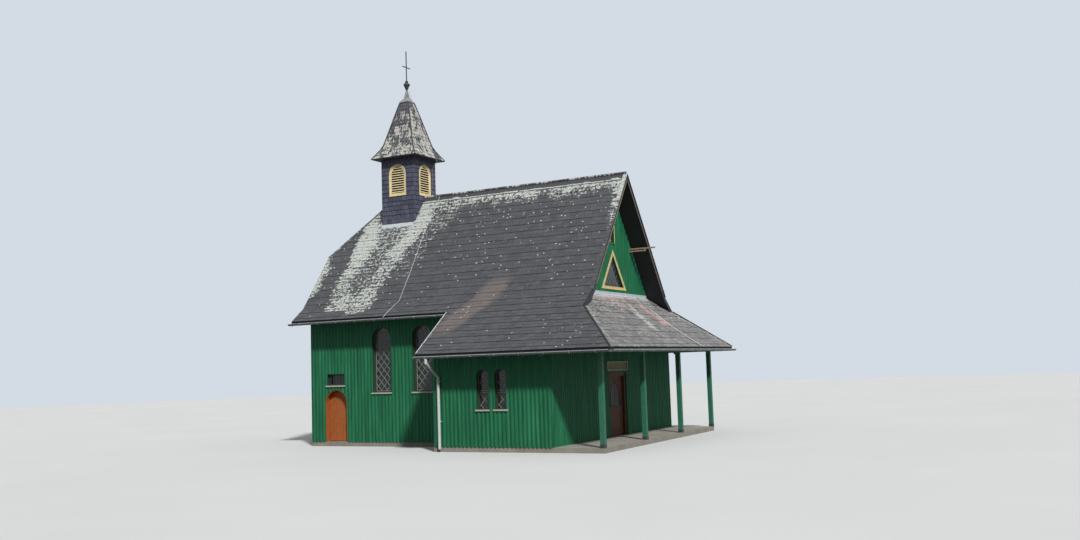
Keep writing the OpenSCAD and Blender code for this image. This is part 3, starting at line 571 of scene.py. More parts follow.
GREEN_WOOD = PaintedTimber("sawn timber, green paint", "#2c7257", "#205e48", 0.6, relief=0.0005)
CREAM = LouvrePaint("louvre boards, cream paint", "#f6e6b6", "#ebd8a4", 0.5, relief=0.0003)
YELLOW = GablePaint("planed timber, yellow paint", "#ebd792", "#d9c27a", 0.5, relief=0.0003)
RUST = PaintedTimber("boards, rust-orange paint", "#b2652f", "#944c22", 0.6, relief=0.0006)
SIGN = PaintedTimber("sign board, olive paint", "#8f895c", "#78734c", 0.6, relief=0.0004)
SIGN_RIM = PaintedTimber("sign board's rim, cream paint", "#e3dcc0", "#cfc7a6", 0.6,
                         relief=0.0004)
FRAME_WOOD = WindowPaint("window joinery, brown paint", "#463f38", "#342f2a", 0.55,
                         relief=0.0003)
CAME = SheetMetal("lead cames, pale with age", "#8c9288", "#a8ada2", 0.5, relief=0.0002)
DARK_CAME = SheetMetal("lead cames, dark", "#4c5254", "#62686a", 0.5, relief=0.0002)
OAK = VarnishedOak("oak, brown varnish", "#6d4229", "#472919", 0.65,
                   ior=1.42, relief=0.0006)
# painted shade: the roofs' undersides and the belfry's boards are coloured nearly black, as they
# lie in shade
SHADED_BOARDS = BoardedSoffit("roof boards, aged, painted shade", "#191d1e", "#262b2b", 0.8, relief=0.0008)
CONCRETE = CastConcrete("cast concrete", "#a8a399", "#8f8a80", 0.85, relief=0.001)
GLASS = LeadedGlass("leaded glass", "#0f1413", "#222927", 0.2, ior=1.52)
DOOR_GLASS = LeadedGlass("door glass, greenish", "#12201a", "#2a3d31", 0.55, ior=1.42)
TAN = PaintedTimber("bracket bars, tan paint", "#a08b76", "#7f6c5a", 0.6, relief=0.0004)
# painted shade: the vent's slats are coloured near black-green to stand for the shade inside the
# vent
VENT_SHADE = PaintedTimber("vent slats, black-green painted shade", "#222c26", "#19211d", 0.6,
                          relief=0.0004)
BLUE_GLASS = LeadedGlass("leaded glass, bluish above", "#15211f", "#4f5a74", 0.14, ior=1.52,
                         middle="#38382b")
FLOOR_PAINT = StudioFloor("studio floor", "#d5d6d4", "#d9dad8", 0.9)


def clip(ring: Ring, cut: Cut) -> Ring:
    """Cuts a flat ring of points along a straight line.

    Args:
        ring: Points (s, t), in order round the shape.
        cut: The line a*s + b*t = c as (a, b, c). The side below c is kept.

    Returns:
        The ring that is left, which may be empty.
    """
    a, b, c = cut
    kept: Ring = []
    for i, p in enumerate(ring):
        q = ring[(i + 1) % len(ring)]
        dp, dq = a * p[0] + b * p[1] - c, a * q[0] + b * q[1] - c
        if dp <= 0:
            kept.append(p)
        if (dp < 0 < dq) or (dq < 0 < dp):
            u = dp / (dp - dq)
            kept.append((p[0] + (q[0] - p[0]) * u, p[1] + (q[1] - p[1]) * u))
    return kept if len(kept) > 2 else []


def rectangle(s0: float, t0: float, s1: float, t1: float) -> Ring:
    """The corners of a rectangle, anticlockwise from the first."""
    return [(s0, t0), (s1, t0), (s1, t1), (s0, t1)]


@dataclass(frozen=True)
class Slope:
    """A flat face of the chapel with its own directions, both of length one."""

    origin: Vector
    along: Vector
    up: Vector

    @property
    def normal(self) -> Vector:
        """Direction out of the face."""
        return self.along.cross(self.up)

    def at(self, s: float, t: float, out: float = 0.0) -> Vector:
        """The point at s along, t up and out from the face."""
        return self.origin + self.along * s + self.up * t + self.normal * out


@dataclass
class Shape:
    """Collects the closed solids of one piece, with a shade and a lichen share at each point."""

    points: list = field(default_factory=list)
    faces: list = field(default_factory=list)
    tone: list = field(default_factory=list)
    lichen: list = field(default_factory=list)
    warm: list = field(default_factory=list)

    def put(self, points: Iterable[Sequence[float]], tone: float = 0.5,
            marks: Sequence[Two] = ()) -> int:
        """Adds points with their shade and marks, and returns the number of the first."""
        first = len(self.points)
        self.points += [tuple(p) for p in points]
        count = len(self.points) - first
        marks = marks or [(0.0, 0.0)] * count
        self.tone += [tone] * count
        self.lichen += [m[0] for m in marks]
        self.warm += [m[1] for m in marks]
        return first

    def loft(self, lower: Sequence[Vector], upper: Sequence[Vector], tone: float = 0.5,
             marks: Sequence[Two] = ()) -> None:
        """Adds a closed solid between two rings that run anticlockwise seen from above.

        Args:
            lower: The ring at the foot.
            upper: The ring at the top, with as many points.
            tone: The shade of the solid, from 0 to 1.
            marks: Shares of lichen and of warm stain at each point of a ring.
        """
        k = len(lower)
        n = self.put([*lower, *upper], tone, [*marks, *marks])
        self.faces.append(tuple(n + i for i in reversed(range(k))))
        self.faces.append(tuple(n + k + i for i in range(k)))
        for i in range(k):
            j = (i + 1) % k
            self.faces.append((n + i, n + j, n + k + j, n + k + i))

    def box(self, low: Sequence[float], high: Sequence[float]) -> None:
        """Adds a box between two corners."""
        (x0, y0, z0), (x1, y1, z1) = low, high
        ring = rectangle(x0, y0, x1, y1)
        self.loft([Vector((x, y, z0)) for x, y in ring], [Vector((x, y, z1)) for x, y in ring])

    def plate(self, slope: Slope, ring: Ring, low: float, high: float, tone: float = 0.5) -> None:
        """Adds a flat plate with an outline on a face, from low to high above it."""
        self.loft([slope.at(s, t, low) for s, t in ring], [slope.at(s, t, high) for s, t in ring],
                  tone)

    def bar(self, slope: Slope, start: tuple, end: tuple, width: float, low: float,
            high: float, tone: float = 0.5) -> None:
        """Adds a straight bar that lies on a face, from low to high above it."""
        (s0, t0), (s1, t1) = start, end
        span = math.hypot(s1 - s0, t1 - t0)
        if span < 1e-4:
            return
        ns, nt = -(t1 - t0) / span * width / 2, (s1 - s0) / span * width / 2
        ring = [(s0 - ns, t0 - nt), (s1 - ns, t1 - nt), (s1 + ns, t1 + nt), (s0 + ns, t0 + nt)]
        self.plate(slope, ring, low, high, tone)

    def trim(self, slope: Slope, outline: Ring, width: float, low: float, high: float,
             step: float = 0.0) -> None:
        """Adds a bar along each side of an outline, every second one higher by a step."""
        for i, p in enumerate(outline):
            self.bar(slope, p, outline[(i + 1) % len(outline)], width, low, high + step * (i % 2))

    def tube(self, path: Sequence[Vector], radius: float, sides: int = 8, closed: bool = False,
             lichen: float = 0.0) -> None:
        """Adds a round bar along a path, with flat ends or closed on itself."""
        count = len(path)
        rings = []
        for i, p in enumerate(path):
            before = path[i - 1] if i or closed else p
            after = path[(i + 1) % count] if i < count - 1 or closed else p
            way = (after - before).normalized()
            across = way.orthogonal() if abs(way.z) > 0.99 else way.cross(UP)
            across.normalize()
            other = way.cross(across)
            rings.append([p + (across * math.cos(a) + other * math.sin(a)) * radius
                          for a in (2 * math.pi * k / sides for k in range(sides))])
        n = self.put([p for ring in rings for p in ring], 0.5, [(lichen, 0.0)] * (count * sides))
        for i in range(count if closed else count - 1):
            a, b = n + i * sides, n + (i + 1) % count * sides
            for k in range(sides):
                m = (k + 1) % sides
                self.faces.append((a + m, a + k, b + k, b + m))
        if not closed:
            self.faces.append(tuple(n + k for k in range(sides)))
            self.faces.append(tuple(n + (count - 1) * sides + k for k in reversed(range(sides))))

    def ball(self, centre: Vector, radii: Sequence[float], rows: int = 6, sides: int = 10) -> None:
        """Adds a rounded button with a radius for each axis."""
        n = self.put((centre.x + radii[0] * math.sin(a) * math.cos(b),
                      centre.y + radii[1] * math.sin(a) * math.sin(b),
                      centre.z - radii[2] * math.cos(a))
                     for a in (math.pi * i / rows for i in range(rows + 1))
                     for b in (2 * math.pi * k / sides for k in range(sides)))
        for i in range(rows):
            a, b = n + i * sides, n + (i + 1) * sides
            for k in range(sides):
                m = (k + 1) % sides
                self.faces.append((a + k, a + m, b + m, b + k))

    def piece(self, name: str, finish: Finish, slot: str, body: Body = Body.BUILDING,
              weld: bool = False, smooth: float = 0.0) -> bpy.types.Object:
        """Makes the Blender object, and hangs it on its body.

        Args:
            name: The piece's name.
            finish: What it is made of.
            slot: The record's material slot for the piece's finish; not used.
            body: The body that it rides on.
            weld: Joins points that lie on each other.
            smooth: Edges flatter than this angle in degrees are shaded smooth.

        Returns:
            The new object.
        """
        mesh = bpy.data.meshes.new(name)
        mesh.from_pydata(self.points, [], self.faces)
        for kind, values in (("tone", self.tone), ("lichen", self.lichen), ("warm", self.warm)):
            mesh.attributes.new(kind, "FLOAT", "POINT").data.foreach_set("value", values)
        if weld:
            work = bmesh.new()
            work.from_mesh(mesh)
            bmesh.ops.remove_doubles(work, verts=work.verts, dist=1e-5)
            work.to_mesh(mesh)
            work.free()
        mesh.validate()
        if smooth:
            mesh.shade_smooth()
            mesh.set_sharp_from_angle(angle=math.radians(smooth))
        mesh.materials.append(finish.material())
        made = stand(name, mesh)
        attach(made, body.value)
        LOG.info("%s: %d faces", name, len(mesh.polygons))
        return made


def stand(name: str, data: bpy.types.ID) -> bpy.types.Object:
    """Puts a mesh, a camera or a lamp in the scene under a name."""
    made = bpy.data.objects.new(name, data)
    bpy.context.scene.collection.objects.link(made)
    return made


def dress(finish: Finish, *nodes: str) -> None:
    """Gives CAD nodes a finish, in every slot that they have."""
    for node in nodes:
        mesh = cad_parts[node].data
        for i in range(len(mesh.materials)):
            mesh.materials[i] = finish.material()
        if not mesh.materials:
            mesh.materials.append(finish.material())


def arch(width: float, height: float, sides: int = 20) -> Ring:
    """An upright outline with a round head, its foot in the middle at (0, 0)."""
    r = width / 2
    turn = [(r * math.cos(math.pi * k / sides), height - r + r * math.sin(math.pi * k / sides))
            for k in range(sides + 1)]
    return [(-r, 0.0), (r, 0.0)] + turn


def circle(radius: float, sides: int) -> Ring:
    """Points on a round outline about (0, 0), anticlockwise."""
    return [(radius * math.cos(a), radius * math.sin(a))
            for a in (2 * math.pi * k / sides for k in range(sides))]


def quarters() -> list[tuple[Vector, Vector]]:
    """Outward and sideways directions of the turret's four faces, from the south one on."""
    return [(Vector((math.sin(a), -math.cos(a), 0)), Vector((math.cos(a), math.sin(a), 0)))
            for a in (k * math.pi / 2 for k in range(4))]


def edge_lines(ring: Ring) -> Iterable[tuple[tuple, Cut]]:
    """The start of each side of a ring that runs anticlockwise, and the line that it lies on."""
    for p, q in zip(ring, ring[1:] + ring[:1]):
        a, b = q[1] - p[1], p[0] - q[0]
        if math.hypot(a, b) >= 1e-9:
            yield p, (a, b, a * p[0] + b * p[1])


def chord(ring: Ring, start: tuple, end: tuple) -> Optional[tuple]:
    """The part of a straight line inside a convex outline that runs anticlockwise, or None."""
    lo, hi = 0.0, 1.0
    ds, dt = end[0] - start[0], end[1] - start[1]
    for p, (a, b, _) in edge_lines(ring):
        gap = a * (start[0] - p[0]) + b * (start[1] - p[1])
        step = a * ds + b * dt
        if abs(step) < 1e-12:
            if gap > 0:
                return None
            continue
        u = -gap / step
        if step > 0:
            hi = min(hi, u)
        else:
            lo = max(lo, u)
    if hi - lo < 1e-3:
        return None
    return ((start[0] + ds * lo, start[1] + dt * lo), (start[0] + ds * hi, start[1] + dt * hi))


@dataclass
class Slating:
    """Courses of slates on a face: exposed height and width in metres, and how they lie.

    Attributes:
        lap: Length under the next course.
        gap: Joint between two slates.
        tail: Height of the tail's face over the roof.
        head: Height of the head's face.
        thick: Thickness of a slate.
        wander: How far a tail strays from its course.
        kick: Extra height of the first course.
        paired: Extra height of every second course.
        rowed: How much denser lichen is at a tail.
        patchy: How much lichen differs between slates.
        widths: Least and greatest share of the plain width.
        loose: Share of lifted slates, and their lift.
        broken: Share of slates with a corner off, and its width and height.
        scrap: Smallest area that is laid.
    """

    course: float
    width: float
    seed: int
    lap: float = 0.06
    gap: float = 0.005
    tail: float = 0.016
    head: float = 0.004
    thick: float = 0.007
    wander: float = 0.004
    kick: float = 0.0
    paired: float = 0.005
    rowed: float = 0.10
    patchy: float = 0.03
    widths: Two = (0.86, 1.14)
    loose: Two = (0.03, 0.006)
    broken: tuple[float, float, float] = (0.05, 0.03, 0.04)
    scrap: float = 0.0008

    def lay(self, shape: Shape, slope: Slope, span: Sequence[float],
            reach: Sequence[float], cuts: Callable[[float, float], Iterable[Cut]],
            growth: Callable[[Vector], Two] = lambda p: (0.0, 0.0)) -> None:
        """Lays slates over a face.

        Args:
            shape: The shape that takes the slates.
            slope: The face.
            span: Lowest and highest s to cover.
            reach: Lowest and highest t to cover.
            cuts: The lines that limit a slate with its middle at (s, t).
            growth: Shares of lichen and of warm stain at a place.
        """
        rng = random.Random(self.seed)
        tall = self.course + self.lap
        for row in range(math.ceil((reach[1] - reach[0]) / self.course)):
            t0 = reach[0] + row * self.course
            s = span[0] - self.width * (0.5 if row % 2 else 1.0)
            while s < span[1]:
                wide = self.width * rng.uniform(*self.widths)
                tone, drop = rng.random(), rng.uniform(-self.wander, self.wander)
                lift = rng.uniform(0, 0.003) + self.loose[1] * (rng.random() < self.loose[0])
                lift += self.paired * (row % 2) + self.kick * (row == 0)
                corner = rng.random() < self.broken[0]
                s0, s1 = s + self.gap / 2, s + wide - self.gap / 2
                s += wide
                foot, top = max(reach[0], t0 + drop), min(reach[1], t0 + self.course + self.lap)
                ring = rectangle(s0, foot, s1, top)
                if corner:
                    ring[0] = (s0 + self.broken[1], foot)
                    ring.append((s0, foot + self.broken[2]))
                for limit in [(-1, 0, -span[0]), (1, 0, span[1]),
                              *cuts((s0 + s1) / 2, t0 + self.course / 2)]:
                    ring = clip(ring, limit)
                size = abs(sum(p[0] * q[1] - q[0] * p[1]
                               for p, q in zip(ring, ring[1:] + ring[:1]))) / 2
                if size < self.scrap:
                    continue
                outs = [self.head + lift + (self.tail - self.head) * (1 - (t - t0) / tall)
                        for _, t in ring]
                upper = [slope.at(u, t, o) for (u, t), o in zip(ring, outs)]
                lower = [slope.at(u, t, max(o - self.thick, 0.0005))
                         for (u, t), o in zip(ring, outs)]
                marks = [growth(p) for p in upper]
                patch = rng.uniform(-self.patchy, self.patchy)
                marks = [(dense and dense + patch + self.rowed * (0.5 - (t - t0) / self.course),
                          warm) for (dense, warm), (_, t) in zip(marks, ring)]
                shape.loft(lower, upper, tone, marks)


Run = tuple[tuple[float, float, float, float], ...]


@dataclass
class Growth:
    """Where lichen and stains lie on the roofs: it runs down from the turret and the verges.

    A run is a row of stations (place down the slope, place across, half width, share covered).
    """

    below_rear: Run = ((0.7, -4.1, 0.30, 0.5), (1.3, -4.0, 0.48, 0.85), (2.5, -4.05, 0.45, 0.9),
                       (3.5, -4.2, 0.42, 0.62), (4.2, -4.15, 0.42, 0.5), (4.7, -3.9, 0.6, 0.6),
                       (5.1, -3.9, 0.7, 0.6), (5.4, -3.8, 0.6, 0.35))
    below_front: Run = ((0.0, -1.8, 0.45, 0.7), (0.4, -1.95, 0.38, 0.9), (1.4, -2.0, 0.40, 0.95),
                        (2.2, -2.3, 0.40, 0.85), (3.0, -2.5, 0.34, 0.65), (4.0, -2.8, 0.30, 0.5),
                        (4.7, -3.0, 0.5, 0.6), (5.4, -3.1, 0.5, 0.5), (5.7, -3.2, 0.2, 0.3))
    between: Run = ((0.9, -3.0, 0.75, 0.6), (2.0, -3.1, 0.7, 0.42), (3.2, -3.1, 0.6, 0.32),
                    (4.4, -3.3, 0.6, 0.25), (4.8, -3.2, 0.8, 0.5), (5.2, -3.3, 0.7, 0.3))
    rear_edge: Run = ((2.4, -5.36, 0.10, 0.5), (2.8, -5.40, 0.14, 0.85), (4.2, -5.40, 0.15, 0.85),
                      (4.6, -5.42, 0.08, 0.3))
    scatter: Run = ((0.0, -0.9, 1.0, 0.6), (0.5, -1.0, 0.8, 0.42), (1.2, -1.2, 0.6, 0.3),
                    (2.5, -1.6, 0.5, 0.2), (4.0, -1.8, 0.5, 0.1))
    front_edge: Run = ((0.0, 5.60, 0.30, 0.85), (0.6, 5.64, 0.22, 0.8), (1.2, 5.66, 0.18, 0.75),
                       (1.9, 5.68, 0.14, 0.6), (2.3, 5.70, 0.10, 0.4), (2.8, 5.72, 0.05, 0.0))
    brown: Run = ((3.9, 2.5, 0.3, 0.0), (4.5, 2.2, 0.45, 0.45), (6.2, 1.5, 0.5, 0.5),
                  (7.1, 1.2, 0.4, 0.2))
    porch_white: Run = ((5.3, 0.2, 0.10, 0.5), (5.6, 0.12, 0.14, 0.9), (6.1, -0.1, 0.22, 1.0),
                        (6.4, -0.17, 0.2, 0.95), (6.65, -0.3, 0.2, 0.8), (6.95, -0.26, 0.14, 0.3))
    porch_pink: tuple[Run, ...] = (
        ((5.0, -0.8, 2.4, 0.35), (5.3, -0.7, 1.8, 0.3), (5.7, -0.2, 1.2, 0.0)),
        ((5.24, -0.95, 0.6, 0.5), (5.34, -0.9, 0.6, 0.75), (5.46, -0.6, 0.4, 0.3)),
        ((5.5, -0.5, 0.3, 0.4), (5.65, -0.5, 0.32, 0.6), (5.8, -0.4, 0.2, 0.2)),
        ((5.3, 1.1, 0.1, 0.4), (5.45, 1.3, 0.16, 0.6), (5.6, 1.35, 0.2, 0.6),
         (5.75, 1.3, 0.2, 0.85), (6.0, 1.33, 0.24, 0.95), (6.35, 1.36, 0.22, 0.95),
         (6.5, 1.42, 0.1, 0.4)))

    def share(self, run: Run, down: float, across: float, ragged: float) -> float:
        """How much a run covers at a place, with soft edges."""
        for (d0, a0, h0, c0), (d1, a1, h1, c1) in zip(run, run[1:]):
            if d0 <= down <= d1:
                u = (down - d0) / (d1 - d0)
                half = h0 + (h1 - h0) * u
                gap = abs(across - a0 - (a1 - a0) * u + ragged) - half
                return (c0 + (c1 - c0) * u) * max(0.0, min(1.0, 0.5 - gap / 0.18))
        return 0.0

    def dense(self, covered: float) -> float:
        """The shader's threshold for a covered share of the surface."""
        return 0.35 + 0.31 * min(covered, 1.0) if covered > 0.02 else 0.0

    def down(self, p: Vector) -> float:
        """Way down the roof from the ridge to a place, over the bend."""
        across = abs(p.y)
        return (min(across, PLAN.bend_y) * math.hypot(1, PLAN.steep)
                + max(0.0, across - PLAN.bend_y) * math.hypot(1, PLAN.flat))

    def south(self, p: Vector) -> Two:
        """Lichen and stains on the south slope of the main roof."""
        down = self.down(p)
        ragged = noise.noise(Vector((p.x * 3.5, down * 1.1, 0.3))) * 0.22
        best = max(self.share(run, down, p.x, ragged) for run in
                   (self.below_rear, self.below_front, self.between, self.scatter, self.rear_edge,
                    self.front_edge))
        drip = noise.noise(Vector((p.x * 3.1, down * 0.5, 5.0)))
        best = max(best, 1.05 * max(0.0, 1 - down / max(0.3, 0.9 + 0.8 * drip)))
        return self.dense(best), self.share(self.brown, down, p.x, ragged * 0.4)

    def verge(self, down: float) -> float:
        """Lichen on the south front verge, by the way down from the ridge."""
        return self.dense(max(0.0, 1.1 - down / 2.4))

    def plain(self, p: Vector) -> Two:
        """Lichen on slopes that grow it in single patches."""
        down = self.down(p)
        patch = noise.noise(Vector((p.x * 0.9, down * 0.5, 3.0 + p.y * 0.01)))
        warm = self.share(self.brown, down, p.x, 0.0) if p.y < 0 else 0.0
        weight = 0.2 if p.y < 0 else 0.55
        return self.dense(max(0.0, weight * patch - 0.08)), warm

    def porch(self, p: Vector) -> Two:
        """Lichen and pink stains on the porch roof: streaks down it, and spots along each hip."""
        hip = PLAN.hip_top_y + (p.x - PLAN.verge) * PLAN.flat / PLAN.porch_pitch
        edge = 0.7 * max(0.0, 1 - abs(abs(p.y) - hip + 0.11) / 0.13) if p.x > 5.7 else 0.0
        ragged = noise.noise(p * 2.5) * 0.2
        white = self.share(self.porch_white, p.x, p.y, ragged)
        pink = max(self.share(run, p.x, p.y, ragged) for run in self.porch_pink)
        bleached = 0.06 + 0.30 * max(0.0, min(1.0, (6.5 - p.x) / 1.1))
        return self.dense(max(white, edge, bleached + 0.3 * noise.noise(p * 1.9))), pink

    def spire(self, p: Vector) -> Two:
        """Lichen on the spire: heavy on the south face, in upright streaks on the front."""
        down = 1 - (p.z - PLAN.turret_top) / PLAN.spire_h
        front = p.x - PLAN.turret_x > abs(p.y)
        wild = noise.noise(Vector((p.x * 4, p.y * 4, p.z * 2)))
        streak = noise.noise(Vector((p.x * 2, p.y * 6, p.z * 0.8)))
        if front:
            return self.dense(0.66 + 0.8 * streak - 0.2 * (p.y > 0.1)), 0.25 * max(0.0, wild)
        return self.dense((0.1 + 0.52 * down) + 0.6 * wild), 0.0


@dataclass
class MainRoof:
    """The nave's two steep slopes that bend flatter over the walls, and the half-hip.

    Attributes:
        tuck: How far the slates stop short of the ridge and of a flashing.
        overhang: How far the first course hangs over its eave.
        tile: Length of a ridge tile.
        tile_radius: Radius of a ridge tile.
        hip_pieces: Pieces of one hip's roll.
        strips: Slate strips along one verge.
    """

    slating: Slating
    growth: Growth
    tuck: float = 0.02
    overhang: float = 0.03
    tile: float = 0.42
    tile_radius: float = 0.045
    hip_pieces: int = 12
    strips: int = 30

    def slopes(self, side: Side) -> tuple[Slope, Slope]:
        """The steep face from the bend up, and the flat face from the eave up."""
        y = side.value
        along = Vector((-y, 0, 0))
        steep = Vector((0, -y * PLAN.bend_y, PLAN.ridge - PLAN.bend_z)).normalized()
        flat = Vector((0, -y, PLAN.flat)).normalized()
        eave_z = PLAN.bend_z - (PLAN.eave_y - PLAN.bend_y) * PLAN.flat
        return (Slope(Vector((0, y * PLAN.bend_y, PLAN.bend_z)), along, steep),
                Slope(Vector((0, y * PLAN.eave_y, eave_z)), along, flat))

    def slates(self, side: Side) -> None:
        """Slates of one side, on both faces."""
        grow = self.growth.south if side is Side.SOUTH else self.growth.plain
        steep, flat = self.slopes(side)
        shape = Shape()
        length = math.hypot(PLAN.bend_y, PLAN.ridge - PLAN.bend_z)
        foot = (PLAN.bend_y - PLAN.hip_y) * math.hypot(1, PLAN.steep)
        hip = PLAN.hip_run / (length - foot)
        over: Cut = (side.value, hip, -PLAN.rear_verge + hip * foot)
        self.slating.lay(shape, steep,
                         sorted((-side.value * PLAN.rear_verge, -side.value * PLAN.verge)),
                         (0, length - self.tuck), lambda s, t: [over], grow)
        short = math.hypot(1, PLAN.flat) * (PLAN.eave_y - PLAN.bend_y)
        self.slating.lay(shape, flat, sorted((-side.value * PLAN.rear_verge,
                                              -side.value * (PLAN.aisle_verge - 0.005))),
                         (-self.overhang, short), lambda s, t: [], grow)
        shape.piece(f"main_slates_{side.name.lower()}", ROOF_SLATE, "slate")

    def half_hip(self) -> None:
        """Slates of the half-hip over the rear wall."""
        up = Vector((PLAN.hip_run, 0, PLAN.hip_drop)).normalized()
        foot = Vector((PLAN.rear_verge, 0, PLAN.ridge - PLAN.hip_drop))
        length = math.hypot(PLAN.hip_run, PLAN.hip_drop)
        lean = PLAN.hip_y / length
        shape = Shape()
        self.slating.lay(shape, Slope(foot, -ACROSS, up), (-PLAN.hip_y, PLAN.hip_y),
                         (-self.overhang, length - self.tuck),
                         lambda s, t: [(1, lean, PLAN.hip_y), (-1, lean, PLAN.hip_y)],
                         self.growth.plain)
        shape.piece("half_hip_slates", ROOF_SLATE, "slate")

    def rolls(self, rng: random.Random) -> None:
        """Rolls of small slates down the two hips, and tiles on the ridge."""
        shape = Shape()
        start = Vector((PLAN.rear_verge + PLAN.hip_run, 0, PLAN.ridge))
        for side in Side:
            end = Vector((PLAN.rear_verge, side.value * PLAN.hip_y, PLAN.ridge - PLAN.hip_drop))
            for i in range(self.hip_pieces):
                a, b = [start.lerp(end, k / self.hip_pieces) for k in (i, i + 1)]
                shape.tube([a + UP * 0.004, b + UP * 0.018], 0.04,
                           lichen=0.30 + 0.2 * rng.random())
        ring = circle(self.tile_radius, 10)
        bottom = PLAN.ridge + 0.05
        for i in range(math.floor((PLAN.verge - (PLAN.turret_x + PLAN.turret_half)) / self.tile)):
            x0 = PLAN.verge - 0.01 - (i + 1) * self.tile
            rise = 0.004 * (i % 2)
            shape.loft([Vector((x0, y, bottom + z)) for y, z in ring],
                       [Vector((x0 + self.tile + 0.01, y, bottom + z + rise)) for y, z in ring],
                       rng.random(), [(0.34 + 0.2 * rng.random(), 0.0)] * 10)
        shape.piece("ridge_and_hip_rolls", ROOF_SLATE, "slate", smooth=40)

    def verge_ends(self, rng: random.Random) -> None:
        """Slate strips along the front verges, and the pale edge of the board under them."""
        ends, lines = Shape(), Shape()
        length = math.hypot(PLAN.bend_y, PLAN.ridge - PLAN.bend_z)
        for side in Side:
            steep, _ = self.slopes(side)
            way = -side.value
            inner, outer, line = [way * (PLAN.verge + d) for d in (-0.09, 0.045, 0.026)]
            for i in range(self.strips):
                t0 = (length - 0.01) * i / self.strips
                t1 = (length - 0.01) * (i + 1) / self.strips - 0.008
                out = 0.024 + 0.006 * rng.random()
                ring = rectangle(inner, t0, outer, t1)[::way]
                crust = self.growth.verge(length - (t0 + t1) / 2) if side is Side.SOUTH \
                    else 0.3 + 0.1 * rng.random()
                ends.loft([steep.at(s, t, 0.004) for s, t in ring],
                          [steep.at(s, t, out) for s, t in ring], rng.random(),
                          [(crust + 0.1 * rng.random() - 0.05, 0.0)] * 4)
            lines.bar(steep, (line, 0.3), (line, length - 0.2), 0.012, -PLAN.roof_t,
                      -PLAN.roof_t + 0.025)
        ends.piece("verge_slates", ROOF_SLATE, "slate")
        lines.piece("verge_lines", TAN, "dark_metal")

    def build(self) -> None:
        """Builds the main roof's slates and edges."""
        for side in Side:
            self.slates(side)
        self.half_hip()
        rng = random.Random(41)
        self.rolls(rng)
        self.verge_ends(rng)
        dress(SHADED_BOARDS, "main_roof_south", "main_roof_north", "half_hip_roof")
        dress(ROOF_SLATE, "ridge_cap")
        dress(VERGE, "verge_boards")
        dress(LEAD, "flashings")


@dataclass
class LowRoofs:
    """The flatter slopes over the aisles and the hipped roof over the porch.

    Attributes:
        under_verge: Half width of the porch slates under the main roof, at its verge and at top.
    """

    slating: Slating
    porch_slating: Slating
    growth: Growth
    under_verge: Two = (3.40, 2.76)

    def aisle(self, side: Side) -> None:
        """Slates of one aisle, up to the bend of the main roof."""
        y, way = side.value, -side.value
        run = math.hypot(1, PLAN.flat)
        face = Slope(Vector((0, y * PLAN.low_y, PLAN.low_z)), Vector((way, 0, 0)),
                     Vector((0, way, PLAN.flat)).normalized())
        bend = (PLAN.low_y - PLAN.bend_y) * run
        turn = (PLAN.low_y - PLAN.hip_top_y) * run
        hip: Cut = (way, (PLAN.porch_x - PLAN.verge) / turn, PLAN.porch_x)
        rear: Cut = (-way, 0, -PLAN.aisle_verge)
        front: Cut = (way, 0, PLAN.verge)
        shape = Shape()
        self.slating.lay(shape, face, sorted((way * PLAN.aisle_verge, way * PLAN.porch_x)),
                         (-0.03, bend), lambda s, t: [rear, hip if t < turn else front],
                         self.growth.plain)
        shape.piece(f"aisle_slates_{side.name.lower()}", ROOF_SLATE, "slate")

    def porch(self) -> None:
        """Slates of the porch roof, tucked under the verges of the main roof."""
        run = math.hypot(1, PLAN.porch_pitch)
        face = Slope(Vector((PLAN.porch_x, 0, PLAN.low_z)), ACROSS,
                     Vector((-1, 0, PLAN.porch_pitch)).normalized())
        turn = (PLAN.porch_x - PLAN.verge) * run
        length = (PLAN.porch_x - PLAN.front) * run
        lean = (PLAN.low_y - PLAN.hip_top_y) / turn

        def limits(s: float, t: float) -> list[Cut]:
            """Hips below the front verge, the main roof's underside above it."""
            if t < turn:
                return [(1, lean, PLAN.low_y), (-1, lean, PLAN.low_y)]
            foot, top = self.under_verge
            slope = (foot - top) / (length - turn)
            return [(1, slope, foot + slope * turn), (-1, slope, foot + slope * turn)]

        shape = Shape()
        self.porch_slating.lay(shape, face, (-PLAN.low_y, PLAN.low_y), (-0.03, length - 0.02),
                               limits, self.growth.porch)
        shape.piece("porch_slates", PORCH_SLATE, "porch_slate")

    def hips(self) -> None:
        """Dark rolls along the porch roof's hips, and zinc strips on the aisles' rear verges."""
        rolls, strips = Shape(), Shape()
        for side in Side:
            y = side.value
            start = Vector((PLAN.porch_x, y * PLAN.low_y, PLAN.low_z + 0.01))
            top_z = PLAN.low_z + (PLAN.porch_x - PLAN.verge) * PLAN.porch_pitch + 0.01
            end = Vector((PLAN.verge + 0.03, y * PLAN.hip_top_y, top_z))
            rolls.tube([start.lerp(end, i / 8) for i in range(9)], 0.03)
            ends = [Vector((PLAN.aisle_verge + 0.012, y * a, PLAN.bend_z + 0.018
                            - (a - PLAN.bend_y) * PLAN.flat)) for a in (3.62, PLAN.low_y)]
            strips.tube([ends[0].lerp(ends[1], i / 4) for i in range(5)], 0.016, 6)
        rolls.piece("porch_hip_rolls", VERGE, "dark_metal", smooth=50)
        strips.piece("aisle_verge_strips", LEAD, "zinc", smooth=50)

    def build(self) -> None:
        """Builds the low roofs' slates and rolls."""
        for side in Side:
            self.aisle(side)
        self.porch()
        self.hips()
        dress(SHADED_BOARDS, "aisle_roof_south", "aisle_roof_north", "porch_roof")


